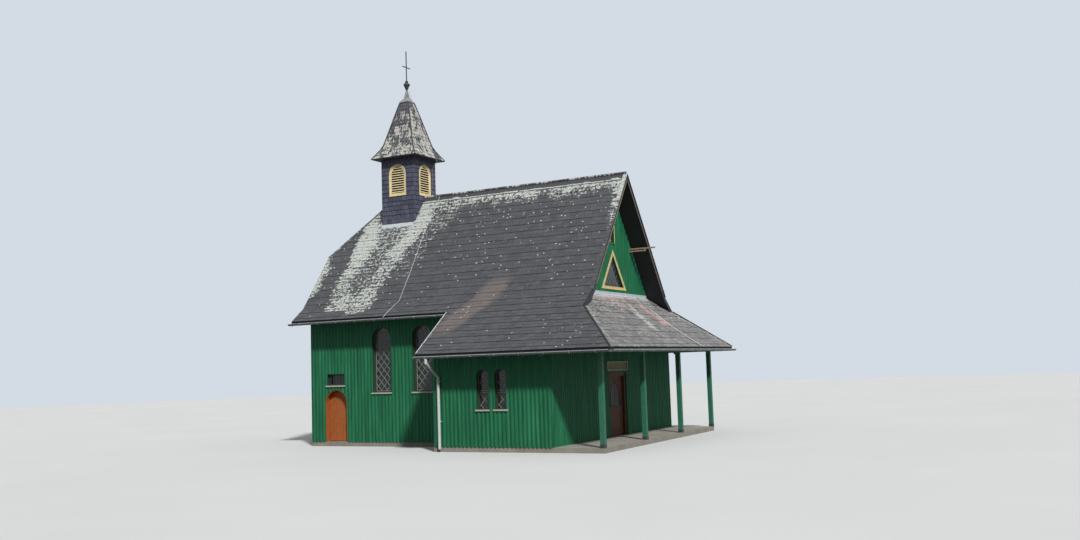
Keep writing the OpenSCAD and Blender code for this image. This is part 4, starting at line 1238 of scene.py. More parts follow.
@dataclass
class Turret:
    """The slate-hung ridge turret with its cream louvres.

    Attributes:
        joint: Space between the slates and the louvre's frame.
        screen_boards: Boards behind each louvre.
    """

    slating: Slating
    joint: float = 0.01
    screen_boards: int = 6

    def faces(self) -> list[Slope]:
        """The four upright faces, from the ground up."""
        middle = Vector((PLAN.turret_x, 0, 0))
        return [Slope(middle + normal * PLAN.turret_half, along, UP)
                for normal, along in quarters()]

    def around(self, s: float, t: float, gable: bool) -> list[Cut]:
        """Keeps a slate out of the louvre's arch and, on the gable faces, off the roof below."""
        r = PLAN.louvre_w / 2 + self.joint
        spring = PLAN.louvre_z + PLAN.louvre_h - PLAN.louvre_w / 2
        way = 1 if s > 0 else -1
        found: list[Cut] = [(-way * PLAN.steep, -1, -PLAN.ridge)] if gable else []
        if t > spring:
            span = math.hypot(s, t - spring)
            ns, nt = s / span, (t - spring) / span
            found.append((-ns, -nt, -r - nt * spring))
        elif t > PLAN.louvre_z:
            found.append((-way, 0, -r))
        elif abs(s) < r:
            found.append((0, 1, PLAN.louvre_z))
        return found

    def slates(self) -> None:
        """Hung slates, cut round the louvre openings."""
        shape = Shape()
        half = PLAN.turret_half
        base = PLAN.ridge - half * PLAN.steep + 0.004
        for k, face in enumerate(self.faces()):
            self.slating.seed += 1
            self.slating.lay(shape, face, (-half - 0.008, half + 0.008),
                             (base, PLAN.turret_top - 0.01),
                             lambda s, t, gable=bool(k % 2): self.around(s, t, gable))
        shape.piece("turret_slates", HUNG_SLATE, "turret_slate")

    def corners(self) -> None:
        """Folded zinc strips on the four corners."""
        shape = Shape()
        half = PLAN.turret_half
        low = PLAN.ridge - half * PLAN.steep + 0.05
        for sx, sy in CORNERS:
            x, y = PLAN.turret_x + sx * (half + 0.008), sy * (half + 0.008)
            shape.tube([Vector((x, y, low + (PLAN.turret_top - low) * i / 8 - 0.002 * (i == 8)))
                        for i in range(9)], 0.014, 6)
        shape.piece("turret_corner_rolls", HUNG_SLATE, "turret_slate", smooth=60)

    def hoods(self) -> None:
        """Cream mouldings round the louvres, over the cut slates."""
        shape = Shape()
        outer = arch(PLAN.louvre_w + 0.03, PLAN.louvre_h + 0.015, 16)
        inner = arch(PLAN.louvre_w - 0.03, PLAN.louvre_h - 0.015, 16)
        low, high = PLAN.louvre_z - 0.035, PLAN.louvre_z + 0.004
        for face in self.faces():
            for i in range(len(outer)):
                j = (i + 1) % len(outer)
                ring = [outer[i], outer[j], inner[j], inner[i]]
                ring = [(s, t + PLAN.louvre_z + (0.01 if k in (0, 1) and t > 0.01 else 0))
                        for k, (s, t) in enumerate(ring)]
                shape.plate(face, ring, 0.0, 0.034)
            shape.plate(face, rectangle(-0.37, low, 0.37, high), 0.0, 0.038)
        shape.piece("louvre_mouldings", CREAM, "yellow_paint", weld=True)

    def screens(self) -> None:
        """Dark boards inside the belfry, behind the louvres, that close the view through it as
        painted shade.
        """
        shape = Shape()
        outline = arch(PLAN.louvre_w - 0.04, PLAN.louvre_h - 0.02, 16)
        wide = PLAN.louvre_w / self.screen_boards
        for face in self.faces():
            for i in range(self.screen_boards):
                ring = clip(clip(outline, (-1, 0, 0.35 - i * wide)),
                            (1, 0, (i + 1) * wide - 0.352))
                ring = [(s, t + PLAN.louvre_z) for s, t in ring]
                # painted shade: these boards take the nearly black finish to stand for the shade
                # inside the belfry
                shape.plate(face, ring, -0.122, -0.110 + 0.003 * (i % 2))
        shape.piece("belfry_screens", SHADED_BOARDS, "dark_metal")

    def build(self) -> None:
        """Builds the turret's cladding and mouldings."""
        self.slates()
        self.corners()
        self.hoods()
        self.screens()
        dress(HUNG_SLATE, "turret_walls")
        dress(CREAM, "turret_louvres")


@dataclass
class Spire:
    """The slated spire with its hips, its knobs and the metal work on top."""

    slating: Slating
    growth: Growth

    def half(self, z: float) -> float:
        """Half width of the spire at a height."""
        u = (z - PLAN.turret_top) / PLAN.spire_h
        body = PLAN.spire_half - PLAN.spire_flare - PLAN.spire_top
        skirt = max(0.0, 1 - u / PLAN.spire_skirt) ** 1.15
        return PLAN.spire_top + body * (1 - u) + PLAN.spire_flare * skirt

    def slates(self) -> None:
        """Courses on the four faces, each course flat between its two heights."""
        shape = Shape()
        rows = math.floor(PLAN.spire_h / self.slating.course)
        step = (PLAN.spire_h - 0.03) / rows
        for k, (normal, along) in enumerate(quarters()):
            for row in range(rows):
                z0 = PLAN.turret_top + 0.02 + row * (PLAN.spire_h - 0.03) / rows
                h0, h1 = self.half(z0), self.half(z0 + step)
                up = normal * (h1 - h0) + Vector((0, 0, step))
                length = up.length
                face = Slope(Vector((PLAN.turret_x, 0, z0)) + normal * h0, along, up / length)
                lean = (h0 - h1) / length
                one = Slating(length + 0.001, self.slating.width, self.slating.seed + row * 4 + k,
                              lap=0.02, rowed=self.slating.rowed, patchy=0.06, paired=0)
                shift = 0.0 if row % 2 else self.slating.width / 2
                one.lay(shape, face, (-h0 - shift, h0 + shift), (0, length),
                        lambda s, t, w=h0 + 0.006, m=lean: [(1, m, w), (-1, m, w)],
                        self.growth.spire)
        shape.piece("spire_slates", SPIRE_SLATE, "slate")

    def hips(self) -> None:
        """Rolls down the four hips, with a knob at the foot of each."""
        rolls, knobs = Shape(), Shape()
        foot = PLAN.spire_half - 0.05
        for sx, sy in CORNERS:
            path = []
            for i in range(13):
                z = PLAN.turret_top + 0.02 + (PLAN.spire_h - 0.04) * i / 12
                w = self.half(z) + 0.016
                path.append(Vector((PLAN.turret_x + sx * w, sy * w, z)))
            rolls.tube(path, 0.024, 6)
            knobs.ball(Vector((PLAN.turret_x + sx * foot, sy * foot, PLAN.turret_top + 0.05)),
                       (0.035, 0.035, 0.03))
        rolls.piece("spire_hip_rolls", IRON, "slate", smooth=60)
        knobs.piece("spire_knobs", IRON, "dark_metal", weld=True, smooth=60)

    def build(self) -> None:
        """Builds the spire's slates and hips."""
        self.slates()
        self.hips()
        dress(SHADED_BOARDS, "spire_roof")
        dress(CAP_METAL, "spire_cap")
        dress(IRON, "finial")


@dataclass
class Hole:
    """An opening in a wall: its ends along the wall, its foot, and its head as a function."""

    start: float
    end: float
    foot: Callable[[float], float]
    head: Callable[[float], float]


def arched_hole(middle: float, width: float, foot: float, height: float) -> Hole:
    """An opening with a round head."""
    r = width / 2

    def head(s: float) -> float:
        """Height of the arch over a place along the wall."""
        return foot + height - r + math.sqrt(max(0.0, r * r - (s - middle) ** 2))

    return Hole(middle - r, middle + r, lambda s: foot, head)


@dataclass
class Cladding:
    """Corrugated sheet on the walls: upright waves with real openings.

    Attributes:
        pitch: Distance from wave to wave.
        depth: Height of a wave.
        gable_depth: Height of a wave on the front.
        steps: Flats that draw one wave.
        stand: Space behind the sheet.
        clear: Space between the sheet's top and the roof's underside.
        lap: How far the end walls' sheet runs past the corner.
    """

    pitch: float = 0.14
    depth: float = 0.030
    gable_depth: float = 0.024
    steps: int = 8
    stand: float = 0.003
    clear: float = 0.01
    lap: float = 0.02

    def out(self, s: float) -> float:
        """How far the sheet's face stands out from the wall."""
        return self.stand + self.depth * (0.5 + 0.5 * math.cos(2 * math.pi * s / self.pitch))

    def under_roof(self, s: float) -> float:
        """Height of the sheet's top at a place across the chapel."""
        return PLAN.underside(s) - self.clear

    def wall(self, shape: Shape, face: Slope, ends: Sequence[float],
             top: Callable[[float], float], holes: Sequence[Hole] = (),
             kinks: Sequence[float] = (), foot: float = PLAN.floor) -> None:
        """Covers one wall.

        Args:
            shape: The shape that takes the sheet.
            face: The wall's outer face, with t as the height.
            ends: First and last place along the wall.
            top: Height of the sheet's top at a place.
            holes: The openings, which don't cross each other.
            kinks: Places where the top bends.
            foot: Height of the sheet's foot.
        """
        step = self.pitch / self.steps
        first = math.ceil(ends[0] / step)
        places = {round(ends[0], 5), round(ends[1], 5)}
        places |= {round(i * step, 5) for i in range(first, math.floor(ends[1] / step) + 1)}
        marks = {round(v, 5) for hole in holes for v in (hole.start, hole.end)}
        places |= marks | {round(k, 5) for k in kinks}
        row = sorted(p for p in places if ends[0] - 1e-6 <= p <= ends[1] + 1e-6)
        for a, b in zip(row, row[1:]):
            if b - a < 1e-4:
                continue
            middle = (a + b) / 2
            found = sorted((h for h in holes if h.start < middle < h.end),
                           key=lambda h: h.foot(middle))
            edges = [lambda s: foot]
            for hole in found:
                edges += [hole.foot, hole.head]
            edges.append(top)
            for low, high in zip(edges[::2], edges[1::2]):
                if high(middle) - low(middle) < 0.002:
                    continue
                ring = [(a, low(a)), (b, low(b)), (b, high(b)), (a, high(a))]
                n = shape.put([face.at(s, t, self.out(s)) for s, t in ring]
                              + [face.at(s, t, 0.0005) for s, t in ring])
                shape.faces += [(n, n + 1, n + 2, n + 3), (n + 7, n + 6, n + 5, n + 4),
                                (n + 4, n + 5, n + 1, n), (n + 3, n + 2, n + 6, n + 7)]
                if a in marks or a == row[0]:
                    shape.faces.append((n, n + 3, n + 7, n + 4))
                if b in marks or b == row[-1]:
                    shape.faces.append((n + 1, n + 5, n + 6, n + 2))

    def long_wall(self, side: Side) -> None:
        """The nave's wall and the aisle's walls on one side."""
        y, way = side.value, -side.value
        tall = [arched_hole(x * way, PLAN.tall_w, PLAN.tall_z, PLAN.tall_h) for x in PLAN.tall_x]
        small = [arched_hole(x * way, PLAN.small_w, PLAN.small_z, PLAN.small_h)
                 for x in PLAN.small_x]
        if side is Side.SOUTH:
            tall.append(arched_hole(PLAN.side_x, PLAN.side_w, PLAN.floor,
                                    PLAN.side_h - PLAN.floor))
            low = PLAN.side_x - PLAN.barred_w / 2
            tall.append(Hole(low, low + PLAN.barred_w, lambda s: PLAN.barred_z - 0.045,
                             lambda s: PLAN.barred_z + PLAN.barred_h))
        shape = Shape()
        for out, start, end, holes in ((PLAN.wall_y, -PLAN.front, PLAN.aisle_x, tall),
                                       (PLAN.aisle_y, PLAN.aisle_x, PLAN.front, small)):
            self.wall(shape, Slope(Vector((0, y * out, 0)), ALONG * way, UP),
                      sorted((start * way, end * way)), lambda s, v=out: self.under_roof(v), holes)
        self.wall(shape, Slope(Vector((PLAN.aisle_x, 0, 0)), -ACROSS, UP),
                  sorted((-y * PLAN.wall_y, -y * PLAN.aisle_y)), self.under_roof)
        shape.piece(f"cladding_{side.name.lower()}", SHEET, "green_sheet", weld=True, smooth=50)

    def rear(self) -> None:
        """The rear wall, up to the half-hip."""
        shape = Shape()
        pitch = PLAN.hip_drop / PLAN.hip_run
        cap = (PLAN.ridge - PLAN.hip_drop + (-PLAN.front - PLAN.rear_verge) * pitch
               - PLAN.roof_t * math.hypot(1, pitch) - self.clear)
        reach = PLAN.wall_y + self.lap
        self.wall(shape, Slope(Vector((-PLAN.front, 0, 0)), -ACROSS, UP), (-reach, reach),
                  lambda s: min(self.under_roof(s), cap))
        shape.piece("cladding_rear", SHEET, "green_sheet", weld=True, smooth=50)

    def front(self) -> None:
        """The front wall under the porch roof, and the gable above it, behind its frames' faces."""
        self.depth = self.gable_depth
        face = Slope(Vector((PLAN.front, 0, 0)), ACROSS, UP)
        shape = Shape()
        low_top = PLAN.porch_top - PLAN.roof_t * math.hypot(1, PLAN.porch_pitch) - self.clear
        door = Hole(-PLAN.door_w / 2, PLAN.door_w / 2, lambda s: 0.0, lambda s: PLAN.door_top)
        low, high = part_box("sign_board")
        sign = Hole(low.y, high.y, lambda s: low.z, lambda s: high.z)
        reach = PLAN.aisle_y + self.lap
        self.wall(shape, face, (-reach, reach), lambda s: min(self.under_roof(s), low_top),
                  [door, sign])
        half, foot = PLAN.gable_win_half, PLAN.gable_win_z
        glass = Hole(-half, half, lambda s: foot, lambda s: foot + (half - abs(s)) * PLAN.steep)
        vent = Hole(-PLAN.vent_w / 2, PLAN.vent_w / 2, lambda s: PLAN.vent_z,
                    lambda s: PLAN.vent_z + PLAN.vent_h)
        base = PLAN.porch_top + 0.10
        reach = (PLAN.underside(0) - 0.02 - base) / PLAN.steep
        self.wall(shape, face, (-reach, reach), self.under_roof, [glass, vent], [0.0], base)
        shape.piece("cladding_front", SHEET, "green_sheet", weld=True, smooth=50)

    def build(self) -> None:
        """Clads every outside wall."""
        for side in Side:
            self.long_wall(side)
        self.rear()
        self.front()
        dress(CORE, "south_wall_corner", "south_wall_over_door", "south_wall", "north_wall",
              "rear_wall", "front_wall_south", "front_wall_north", "front_wall_over_door",
              "front_gable", "aisle_wall_south", "aisle_wall_north", "aisle_end_wall_south",
              "aisle_end_wall_north", "aisle_headers")
        dress(CONCRETE, "floor_slab", "porch_floor")


@dataclass
class Windows:
    """Leaded panes and iron bars in the arched windows, and in the gable.

    Attributes:
        came: Width of a lead came.
        seed: Seed of the first window.
        set_back: Distance of the arched windows' glass behind the wall's face.
        tall_cell: Width and height of a diamond in the tall windows.
        small_cell: The same in the small windows.
        gable_cell: The same in the gable.
        gable_frame: Width of the gable window's frame.
        slats: Slats in the vent.
    """

    came: float = 0.013
    seed: int = 90
    set_back: float = 0.138
    tall_cell: Two = (0.238, 0.272)
    small_cell: Two = (0.30, 0.33)
    gable_cell: Two = (0.24, 0.30)
    gable_frame: float = 0.095
    slats: int = 9

    def lattice(self, lead: Shape, panes: Shape, face: Slope, outline: Ring, cell: tuple,
                depth: float, graded: float = 0.0) -> None:
        """Fills an outline with diamonds of glass between lead cames.

        Args:
            lead: The shape that takes the cames.
            panes: The shape that takes the diamonds.
            face: The window's plane.
            outline: The glazed outline, anticlockwise.
            cell: Width and height of a diamond.
            depth: Distance of the glass behind the face.
            graded: Share of a pane's shade that comes from its height.
        """
        rng = random.Random(self.seed)
        self.seed += 1
        wide, tall = cell
        high = max(t for _, t in outline)
        half = max(s for s, _ in outline)
        slope = tall / wide
        count = math.ceil((2 * half + high / slope) / wide) + 2
        for k in range(-count, count):
            for way in (-1, 1):
                start = (k * wide + wide / 2, -0.2)
                end = (start[0] + way * (high + 0.4) / slope, high + 0.2)
                found = chord(outline, start, end)
                if found:
                    lead.bar(face, found[0], found[1], self.came, -depth + 0.001, -depth + 0.007,
                             rng.random())
        rows = math.ceil(high / (tall / 2)) + 2
        for row in range(-2, rows):
            for col in range(-math.ceil(half / wide) - 1, math.ceil(half / wide) + 2):
                s = (col + (0.5 if row % 2 else 0.0)) * wide
                t = row * tall / 2 - 0.2
                ring: Ring = [(s, t - tall / 2), (s + wide / 2, t), (s, t + tall / 2),
                              (s - wide / 2, t)]
                for _, line in edge_lines(outline):
                    ring = clip(ring, line)
                if not ring:
                    continue
                lean_s, lean_t = rng.uniform(-0.02, 0.02), rng.uniform(-0.02, 0.02)
                upper = [face.at(u, v, -depth + (u - s) * lean_s + (v - t) * lean_t)
                         for u, v in ring]
                lower = [face.at(u, v, -depth - 0.006) for u, v in ring]
                panes.loft(lower, upper, graded * min(1.0, t / high) + (1 - graded) * rng.random())

    def arched(self, side: Side) -> None:
        """The tall windows and the small windows of one side."""
        lead, panes, bars = Shape(), Shape(), Shape()
        along = ALONG * -side.value
        for x in PLAN.tall_x:
            face = Slope(Vector((x, side.value * PLAN.wall_y, PLAN.tall_z)), along, UP)
            inner = [(s, t + 0.045) for s, t in arch(PLAN.tall_w - 0.09, PLAN.tall_h - 0.09)]
            self.lattice(lead, panes, face, inner, self.tall_cell, self.set_back)
            edge = [(s * 0.955, 0.05 + (t - 0.045) * 0.978) for s, t in inner]
            lead.trim(face, edge, 0.016, -0.137, -0.128)
        for x in PLAN.small_x:
            face = Slope(Vector((x, side.value * PLAN.aisle_y, PLAN.small_z)), along, UP)
            inner = [(s, t + 0.036) for s, t in arch(PLAN.small_w - 0.072, PLAN.small_h - 0.072)]
            self.lattice(lead, panes, face, inner, self.small_cell, self.set_back)
            for t in (0.50, 0.56):
                bars.bar(face, (-0.164, t), (0.164, t), 0.022, -0.135, -0.112)
        name = side.name.lower()
        lead.piece(f"window_cames_{name}", CAME, "window_iron")
        panes.piece(f"window_diamonds_{name}", GLASS, "window_glass")
        bars.piece(f"window_saddle_bars_{name}", CAME, "window_iron")

    def barred(self) -> None:
        """Iron bars and a cross bar in the window over the side door."""
        shape = Shape()
        face = Slope(Vector((PLAN.side_x, -PLAN.wall_y, PLAN.barred_z)), ALONG, UP)
        for i in range(5):
            s = -0.26 + i * 0.13
            shape.tube([face.at(s, t, -0.06) for t in (0.0, 0.13, 0.26, PLAN.barred_h)], 0.009)
        shape.tube([face.at(s, 0.19, -0.06) for s in (-0.369, -0.1, 0.1, 0.369)], 0.009)
        shape.piece("barred_window_bars", IRON, "window_iron", smooth=60)

    def gable(self) -> None:
        """Panes, glazing bars and trims of the triangular window, and slats of the vent."""
        face = Slope(Vector((PLAN.front, 0, PLAN.gable_win_z)), ACROSS, UP)
        m, foot = PLAN.steep, self.gable_frame
        inner = PLAN.gable_win_half - foot * (1 + math.hypot(1, m) / m)
        outline: Ring = [(-inner, foot), (inner, foot), (0.0, foot + inner * m)]
        lead, panes, trims, slats = Shape(), Shape(), Shape(), Shape()
        self.lattice(lead, panes, face, outline, self.gable_cell, 0.052, 0.85)
        trims.bar(face, (-inner - 0.02, foot - 0.008), (inner + 0.02, foot - 0.008), 0.016,
                  -0.03, 0.0325)
        z0 = PLAN.vent_z - PLAN.gable_win_z
        w, h = PLAN.vent_w / 2 - 0.046, PLAN.vent_h - 0.092
        for i in range(self.slats):
            t = z0 + 0.048 + h * i / self.slats
            low = [face.at(s, t, o) for s, o in ((-w, 0.020), (w, 0.020), (w, 0.008), (-w, 0.008))]
            high = [face.at(s, t + h / self.slats * 0.9, o)
                    for s, o in ((-w, -0.008), (w, -0.008), (w, -0.020), (-w, -0.020))]
            slats.loft(low, high)
        lead.piece("gable_cames", DARK_CAME, "window_iron")
        panes.piece("gable_diamonds", BLUE_GLASS, "window_glass")
        trims.piece("gable_trims", YELLOW, "yellow_paint")
        # the slats take the near black-green of painted shade
        slats.piece("vent_slats", VENT_SHADE, "green_timber")

    def build(self) -> None:
        """Glazes every window."""
        for side in Side:
            self.arched(side)
        self.barred()
        self.gable()
        dress(FRAME_WOOD, "tall_windows", "aisle_windows", "barred_window")
        dress(YELLOW, "gable_window")
        dress(GLASS, "window_panes")


@dataclass
class Doors:
    """Panels, boards and ironwork of the two doors, and the rim of the bare sign board.

    Attributes:
        leaf_x: Where the front leaf's face is.
        rails: Heights of the mouldings below the pane.
        pane_half: Half width of the pointed pane.
        pane_foot: Height of its foot.
        pane_spring: Height where its point begins.
        pane_rise: Rise of its point.
        lock_z: Height of the knob.
        side_back: Distance of the side leaf's face behind the wall's face.
        side_leaf: Width and height of the side leaf's boards.
        side_foot: Height of their foot.
        boards: Boards in the side leaf.
    """

    leaf_x: float = 5.02
    rails: tuple[float, float, float] = (0.34, 0.56, 0.78)
    pane_half: float = 0.35
    pane_foot: float = 1.12
    pane_spring: float = 1.46
    pane_rise: float = 0.44
    lock_z: float = 1.17
    side_back: float = 0.2
    side_leaf: Two = (0.83, 1.69)
    side_foot: float = 0.158
    boards: int = 6

    def pointed(self) -> Ring:
        """The outline of the front door's pane, which ends in a point."""
        half, rise = self.pane_half, self.pane_rise
        radius = (half * half + rise * rise) / (2 * half)
        turn = math.asin(rise / radius)
        curve = [(half - radius * (1 - math.cos(a)), self.pane_spring + radius * math.sin(a))
                 for a in (turn * k / 6 for k in range(7))]
        return [(-half, self.pane_foot), (half, self.pane_foot), *curve,
                *[(-s, t) for s, t in curve[-2::-1]]]

    def leaf(self) -> tuple[Slope, float]:
        """The front leaf's face, and the half width of its panels."""
        _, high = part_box("front_door")
        return Slope(Vector((self.leaf_x, 0, 0)), ACROSS, UP), high.y - 0.16

    def front(self) -> None:
        """Mouldings and the pointed pane on the front leaf."""
        face, edge = self.leaf()
        shape, pane = Shape(), Shape()
        for t in self.rails:
            shape.bar(face, (-edge + 0.03, t), (edge - 0.03, t), 0.03, -0.014, -0.002)
        outline = self.pointed()
        pane.plate(face, outline, -0.0115, -0.007)
        shape.trim(face, outline, 0.034, -0.0115, 0.004)
        shape.bar(face, (0.0, self.pane_foot), (0.0, self.pane_spring + self.pane_rise), 0.02,
                  -0.0115, -0.002)
        shape.bar(face, (-self.pane_half, self.pane_spring), (self.pane_half, self.pane_spring),
                  0.02, -0.0115, -0.0025)
        shape.piece("front_door_mouldings", OAK, "door_wood", Body.FRONT_LEAF)
        pane.piece("front_door_pane", DOOR_GLASS, "window_glass", Body.FRONT_LEAF)

    def sign(self) -> None:
        """A raised rim round the bare board over the front door."""
        rim = Shape()
        low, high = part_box("sign_board")
        rim.trim(Slope(Vector((high.x, 0, 0)), ACROSS, UP),
                 rectangle(low.y + 0.02, low.z + 0.02, high.y - 0.02, high.z - 0.02),
                 0.04, -0.002, 0.008, step=0.001)
        rim.piece("sign_rim", SIGN_RIM, "sign_paint")

    def knob(self) -> None:
        """A knob over its lock plate on the front leaf."""
        face, edge = self.leaf()
        lock = edge + 0.06
        metal = Shape()
        metal.plate(face, rectangle(edge + 0.03, 1.02, edge + 0.09, 1.26), 0.0, 0.006)
        metal.ball(face.at(lock, self.lock_z, 0.045), (0.028, 0.028, 0.028))
        metal.tube([face.at(lock, self.lock_z, out) for out in (0.0, 0.03)], 0.011)
        metal.piece("front_door_knob", IRON, "dark_metal", Body.FRONT_LEAF, weld=True, smooth=60)

    def side(self) -> None:
        """Upright boards on the side leaf, with a ring handle."""
        wide, high = self.side_leaf
        face = Slope(Vector((PLAN.side_x, self.side_back - PLAN.wall_y, self.side_foot)), ALONG, UP)
        shape, metal = Shape(), Shape()
        rng = random.Random(7)
        for i in range(self.boards):
            s0, s1 = [-wide / 2 + k * wide / self.boards for k in (i, i + 1)]
            ring = arch(wide, high)
            for cut in ((-1, 0, -s0 - 0.003), (1, 0, s1 - 0.003), (0, -1, -0.02)):
                ring = clip(ring, cut)
            shape.plate(face, ring, 0.0, 0.010 + rng.uniform(0, 0.002), rng.random())
        metal.tube([face.at(0.3 + s, 0.86 + t, 0.018) for s, t in circle(0.03, 14)], 0.006, 6,
                   closed=True)
        metal.plate(face, rectangle(0.27, 0.84, 0.33, 0.95), 0.012, 0.016)
        shape.piece("side_door_boards", RUST, "rust_paint", Body.SIDE_LEAF)
        metal.piece("side_door_ring", IRON, "dark_metal", Body.SIDE_LEAF, smooth=60)

    def build(self) -> None:
        """Builds the doors' trims."""
        self.front()
        self.sign()
        self.knob()
        self.side()
        dress(OAK, "front_door", "front_door_frame")
        dress(RUST, "side_door", "side_door_lining")
        dress(SIGN, "sign_board")


@dataclass
class Rainwater:
    """Brackets and rims of the gutters, and the lightning conductor.

    Attributes:
        radius: Radius of the gutters.
        drop: How far their rims lie under the eaves' upper edge.
        spacing: Distance from bracket to bracket.
    """

    radius: float = 0.065
    drop: float = 0.09
    spacing: float = 0.8

    def brackets(self) -> None:
        """Strap brackets under the gutters, and a bead along each outer rim."""
        shape = Shape()
        eave_z = PLAN.bend_z - (PLAN.eave_y - PLAN.bend_y) * PLAN.flat - self.drop
        low_z = PLAN.low_z - self.drop
        runs = [(Vector((x0, side.value * y, z)), ALONG, ACROSS * side.value, x1 - x0)
                for side in Side
                for x0, x1, y, z in ((PLAN.rear_verge, PLAN.aisle_verge, PLAN.eave_y, eave_z),
                                     (PLAN.aisle_verge, PLAN.porch_x, PLAN.low_y, low_z))]
        runs.append((Vector((PLAN.porch_x, -PLAN.low_y, low_z)), ACROSS, ALONG, 2 * PLAN.low_y))
        r, strap = self.radius, self.radius + 0.003
        for start, along, out, length in runs:
            count = max(2, round(length / self.spacing))
            for i in range(count):
                at = start + along * (length * (i + 0.5) / count)
                shape.tube([at + out * (r - strap * math.cos(a)) - UP * strap * math.sin(a)
                            for a in (math.pi * k / 10 for k in range(11))], 0.006, 6)
            rim = start + out * (2 * r)
            shape.tube([rim, rim + along * length * 0.5, rim + along * length], 0.008, 6)
        shape.piece("gutter_brackets_and_beads", PIPE_METAL, "zinc", smooth=60)

    def conductor(self) -> None:
        """A round wire from the cross down the turret and the south roof, and one on the porch."""
        shape = Shape()
        shape.tube([Vector((PLAN.turret_x + out, y, z)) for out, y, z in (
            (0.03, 0.0, 13.1), (0.21, 0.02, 12.45), (0.50, 0.10, 11.45), (0.80, 0.22, 10.55),
            (1.0, 0.42, 10.12), (0.73, 0.50, 9.9), (0.71, 0.50, 9.0), (0.71, 0.48, 8.3))], 0.007, 6)
        out = Vector((0, -(PLAN.ridge - PLAN.bend_z), PLAN.bend_y)).normalized() * 0.05
        steep = [Vector((px, -y, PLAN.ridge - y * PLAN.steep)) + out
                 for px, y in ((-1.56, 0.05), (-1.55, 1.1), (-1.42, 2.2), (-1.36, 2.95))]
        flat = [Vector((px, -y, PLAN.bend_z - (y - PLAN.bend_y) * PLAN.flat + 0.05))
                for px, y in ((-1.42, 3.1), (-1.50, 3.5), (-1.50, 3.74))]
        wall_x = PLAN.turret_x + PLAN.turret_half + 0.02
        shape.tube([Vector((wall_x, 0.3, 8.75)), Vector((-1.7, 0.0, PLAN.ridge + 0.13)), *steep,
                    *flat], 0.008, 6)
        shape.tube([Vector((px, y, PLAN.low_z + (PLAN.porch_x - px) * PLAN.porch_pitch + 0.045))
                    for px, y in ((5.68, 1.59), (6.08, 1.53), (6.44, 1.55), (6.77, 1.68),
                                  (7.14, 1.90), (7.36, 2.02))], 0.013, 6)
        shape.piece("lightning_conductor", PIPE_METAL, "zinc", smooth=60)

    def build(self) -> None:
        """Builds the gutters' brackets and the conductor."""
        self.brackets()
        self.conductor()
        dress(GUTTER_METAL, "upper_gutters", "lower_gutters")
        dress(PIPE_METAL, "downpipes")
        dress(TAN, "gable_bracket")


@dataclass
class Porch:
    """Rafters under the low eaves and the porch roof, and the ironwork of the posts.

    Attributes:
        spacing: Distance from rafter to rafter.
        deep: Height of a rafter.
        half: Half width of an aisle rafter.
        porch_half: Half width of a porch rafter.
        full: Half width of the part where the porch rafters reach the front wall.
    """

    spacing: float = 0.55
    deep: float = 0.09
    half: float = 0.035
    porch_half: float = 0.03
    full: float = 2.9

    def rafters(self) -> None:
        """Rafters under the low eaves and the porch eave."""
        shape = Shape()
        drop = PLAN.roof_t * math.hypot(1, PLAN.flat)
        a, b = PLAN.aisle_y + 0.02, PLAN.low_y - 0.04
        za, zb = [PLAN.low_z + (PLAN.low_y - v) * PLAN.flat - drop - 0.002 for v in (a, b)]
        profile = [(a, za - self.deep), (b, zb - self.deep), (b, zb), (a, za)]
        for side in Side:
            y = side.value
            for i in range(8):
                x = PLAN.aisle_x + 0.25 + i * self.spacing
                shape.loft(*[[Vector((x + self.half * way, y * p, q)) for p, q in profile[::-y]]
                             for way in (-y, y)])
        drop = PLAN.roof_t * math.hypot(1, PLAN.porch_pitch)
        b = PLAN.porch_x - 0.20
        for i in range(17):
            y = (i - 8) * self.spacing
            a = PLAN.front + 0.05
            if abs(y) > self.full:
                a = PLAN.verge + 0.35 + (abs(y) - self.full) * 0.55
            za, zb = [PLAN.low_z + (PLAN.porch_x - v) * PLAN.porch_pitch - drop - 0.003
                      for v in (a, b)]
            profile = [(a, za - self.deep), (b, zb - self.deep), (b, zb), (a, za)]
            shape.loft(*[[Vector((p, y + way, q)) for p, q in profile]
                         for way in (self.porch_half, -self.porch_half)])
        shape.piece("porch_and_aisle_rafters", GREEN_WOOD, "green_timber")

    def feet(self) -> None:
        """Iron shoes and collars on the four posts."""
        shape = Shape()
        for k in range(4):
            low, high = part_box(f"porch_post_{k + 1}")
            for z0, z1, out in ((low.z, low.z + 0.10, 0.006),
                                (high.z - 0.05, high.z - 0.005, 0.01)):
                shape.box((low.x - out, low.y - out, z0 + 0.001), (high.x + out, high.y + out, z1))
        shape.piece("post_shoes_and_collars", IRON, "dark_metal")

    def build(self) -> None:
        """Builds the porch's small timbers."""
        self.rafters()
        self.feet()
        dress(GREEN_WOOD, "porch_beams", *[f"porch_post_{k}" for k in (1, 2, 3, 4)])


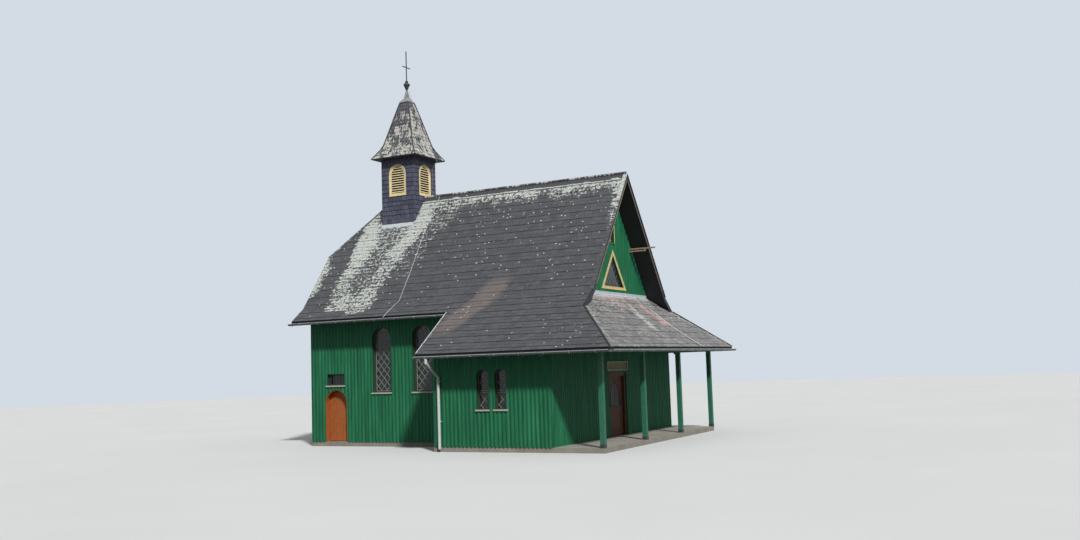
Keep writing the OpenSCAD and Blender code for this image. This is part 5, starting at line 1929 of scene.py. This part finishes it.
@dataclass
class Studio:
    """Pale floor, soft light and the camera of the photograph."""

    place: tuple[float, float, float] = (19.286, -31.959, 2.5)
    yaw: float = 0.486
    pitch: float = 0.0902
    roll: float = -0.033
    focal: float = 1059.584
    image_width: float = 1080.0
    sensor: float = 36.0
    floor_radius: float = 90.0
    key_energy: float = 3.3
    key_angle: float = 5.0
    key_way: tuple[float, float, float] = (1.0, -0.97, 1.28)
    sky: Two = (0.05, 0.48)
    sky_colour: str = "#f2f4f7"
    backdrop: str = "#d3dbe4"

    def camera(self) -> None:
        """Sets up the camera, with the focal length in pixels turned to millimetres."""
        data = bpy.data.cameras.new("camera")
        data.sensor_width = self.sensor
        data.lens = self.focal * self.sensor / self.image_width
        data.clip_end = 500
        ahead = Vector((-math.sin(self.yaw) * math.cos(self.pitch),
                        math.cos(self.yaw) * math.cos(self.pitch), math.sin(self.pitch)))
        right = Vector((math.cos(self.yaw), math.sin(self.yaw), 0))
        above = right.cross(ahead)
        side = right * math.cos(self.roll) + above * math.sin(self.roll)
        top = above * math.cos(self.roll) - right * math.sin(self.roll)
        made = stand("camera", data)
        made.matrix_world = Matrix((
            (side.x, top.x, -ahead.x, self.place[0]), (side.y, top.y, -ahead.y, self.place[1]),
            (side.z, top.z, -ahead.z, self.place[2]), (0, 0, 0, 1)))
        bpy.context.scene.camera = made

    def floor(self) -> None:
        """A wide round floor at the ground's height."""
        shape = Shape()
        shape.loft(*[[Vector((x, y, -deep)) for x, y in circle(self.floor_radius, 72)]
                     for deep in (0.1, 0.001)])
        mesh = bpy.data.meshes.new("floor")
        mesh.from_pydata(shape.points, [], shape.faces)
        mesh.materials.append(FLOOR_PAINT.material())
        stand("floor", mesh)

    def light(self) -> None:
        """A broad key light from the front left, and an even pale sky."""
        sun = bpy.data.lights.new("key", "SUN")
        sun.energy, sun.angle = self.key_energy, math.radians(self.key_angle)
        way = Vector(self.key_way).to_track_quat("Z", "Y")
        stand("key", sun).rotation_euler = way.to_euler()
        world = bpy.data.worlds.new("studio")
        world.use_nodes = True
        tree = world.node_tree
        tree.nodes.clear()
        sky_way = add_node(tree, "TexCoord")["Generated"]
        upward = add_node(tree, "SeparateXYZ", {0: sky_way})[2]
        level = add_node(tree, "MapRange", {"Value": upward, "To Min": self.sky[0],
                                            "To Max": self.sky[1]})[0]
        lit = add_node(tree, "Background", {"Color": linear(self.sky_colour), "Strength": level})
        back = add_node(tree, "Background", {"Color": linear(self.backdrop), "Strength": 1.0})
        mix = add_node(tree, "MixShader", {0: seen(tree), 1: lit[0], 2: back[0]})
        add_node(tree, "OutputWorld", {"Surface": mix[0]})
        bpy.context.scene.world = world
        bpy.context.scene.view_settings.view_transform = "Standard"

    def build(self) -> None:
        """Builds the studio."""
        self.camera()
        self.floor()
        self.light()


def main() -> None:
    """Builds the chapel's classes in order."""
    logging.basicConfig(level=logging.INFO, format="%(name)s: %(message)s")
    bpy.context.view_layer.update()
    growth = Growth()
    Studio().build()
    Cladding().build()
    MainRoof(Slating(0.1625, 0.25, 11), growth).build()
    LowRoofs(Slating(0.1625, 0.25, 21), Slating(0.1625, 0.25, 31), growth).build()
    Turret(Slating(0.165, 0.2, 51, gap=0.010, tail=0.028, thick=0.014, kick=0.014,
                   paired=0)).build()
    Spire(Slating(0.145, 0.14, 61, rowed=0.04), growth).build()
    Windows().build()
    Doors().build()
    Rainwater().build()
    Porch().build()


if __name__ == "__main__":
    main()
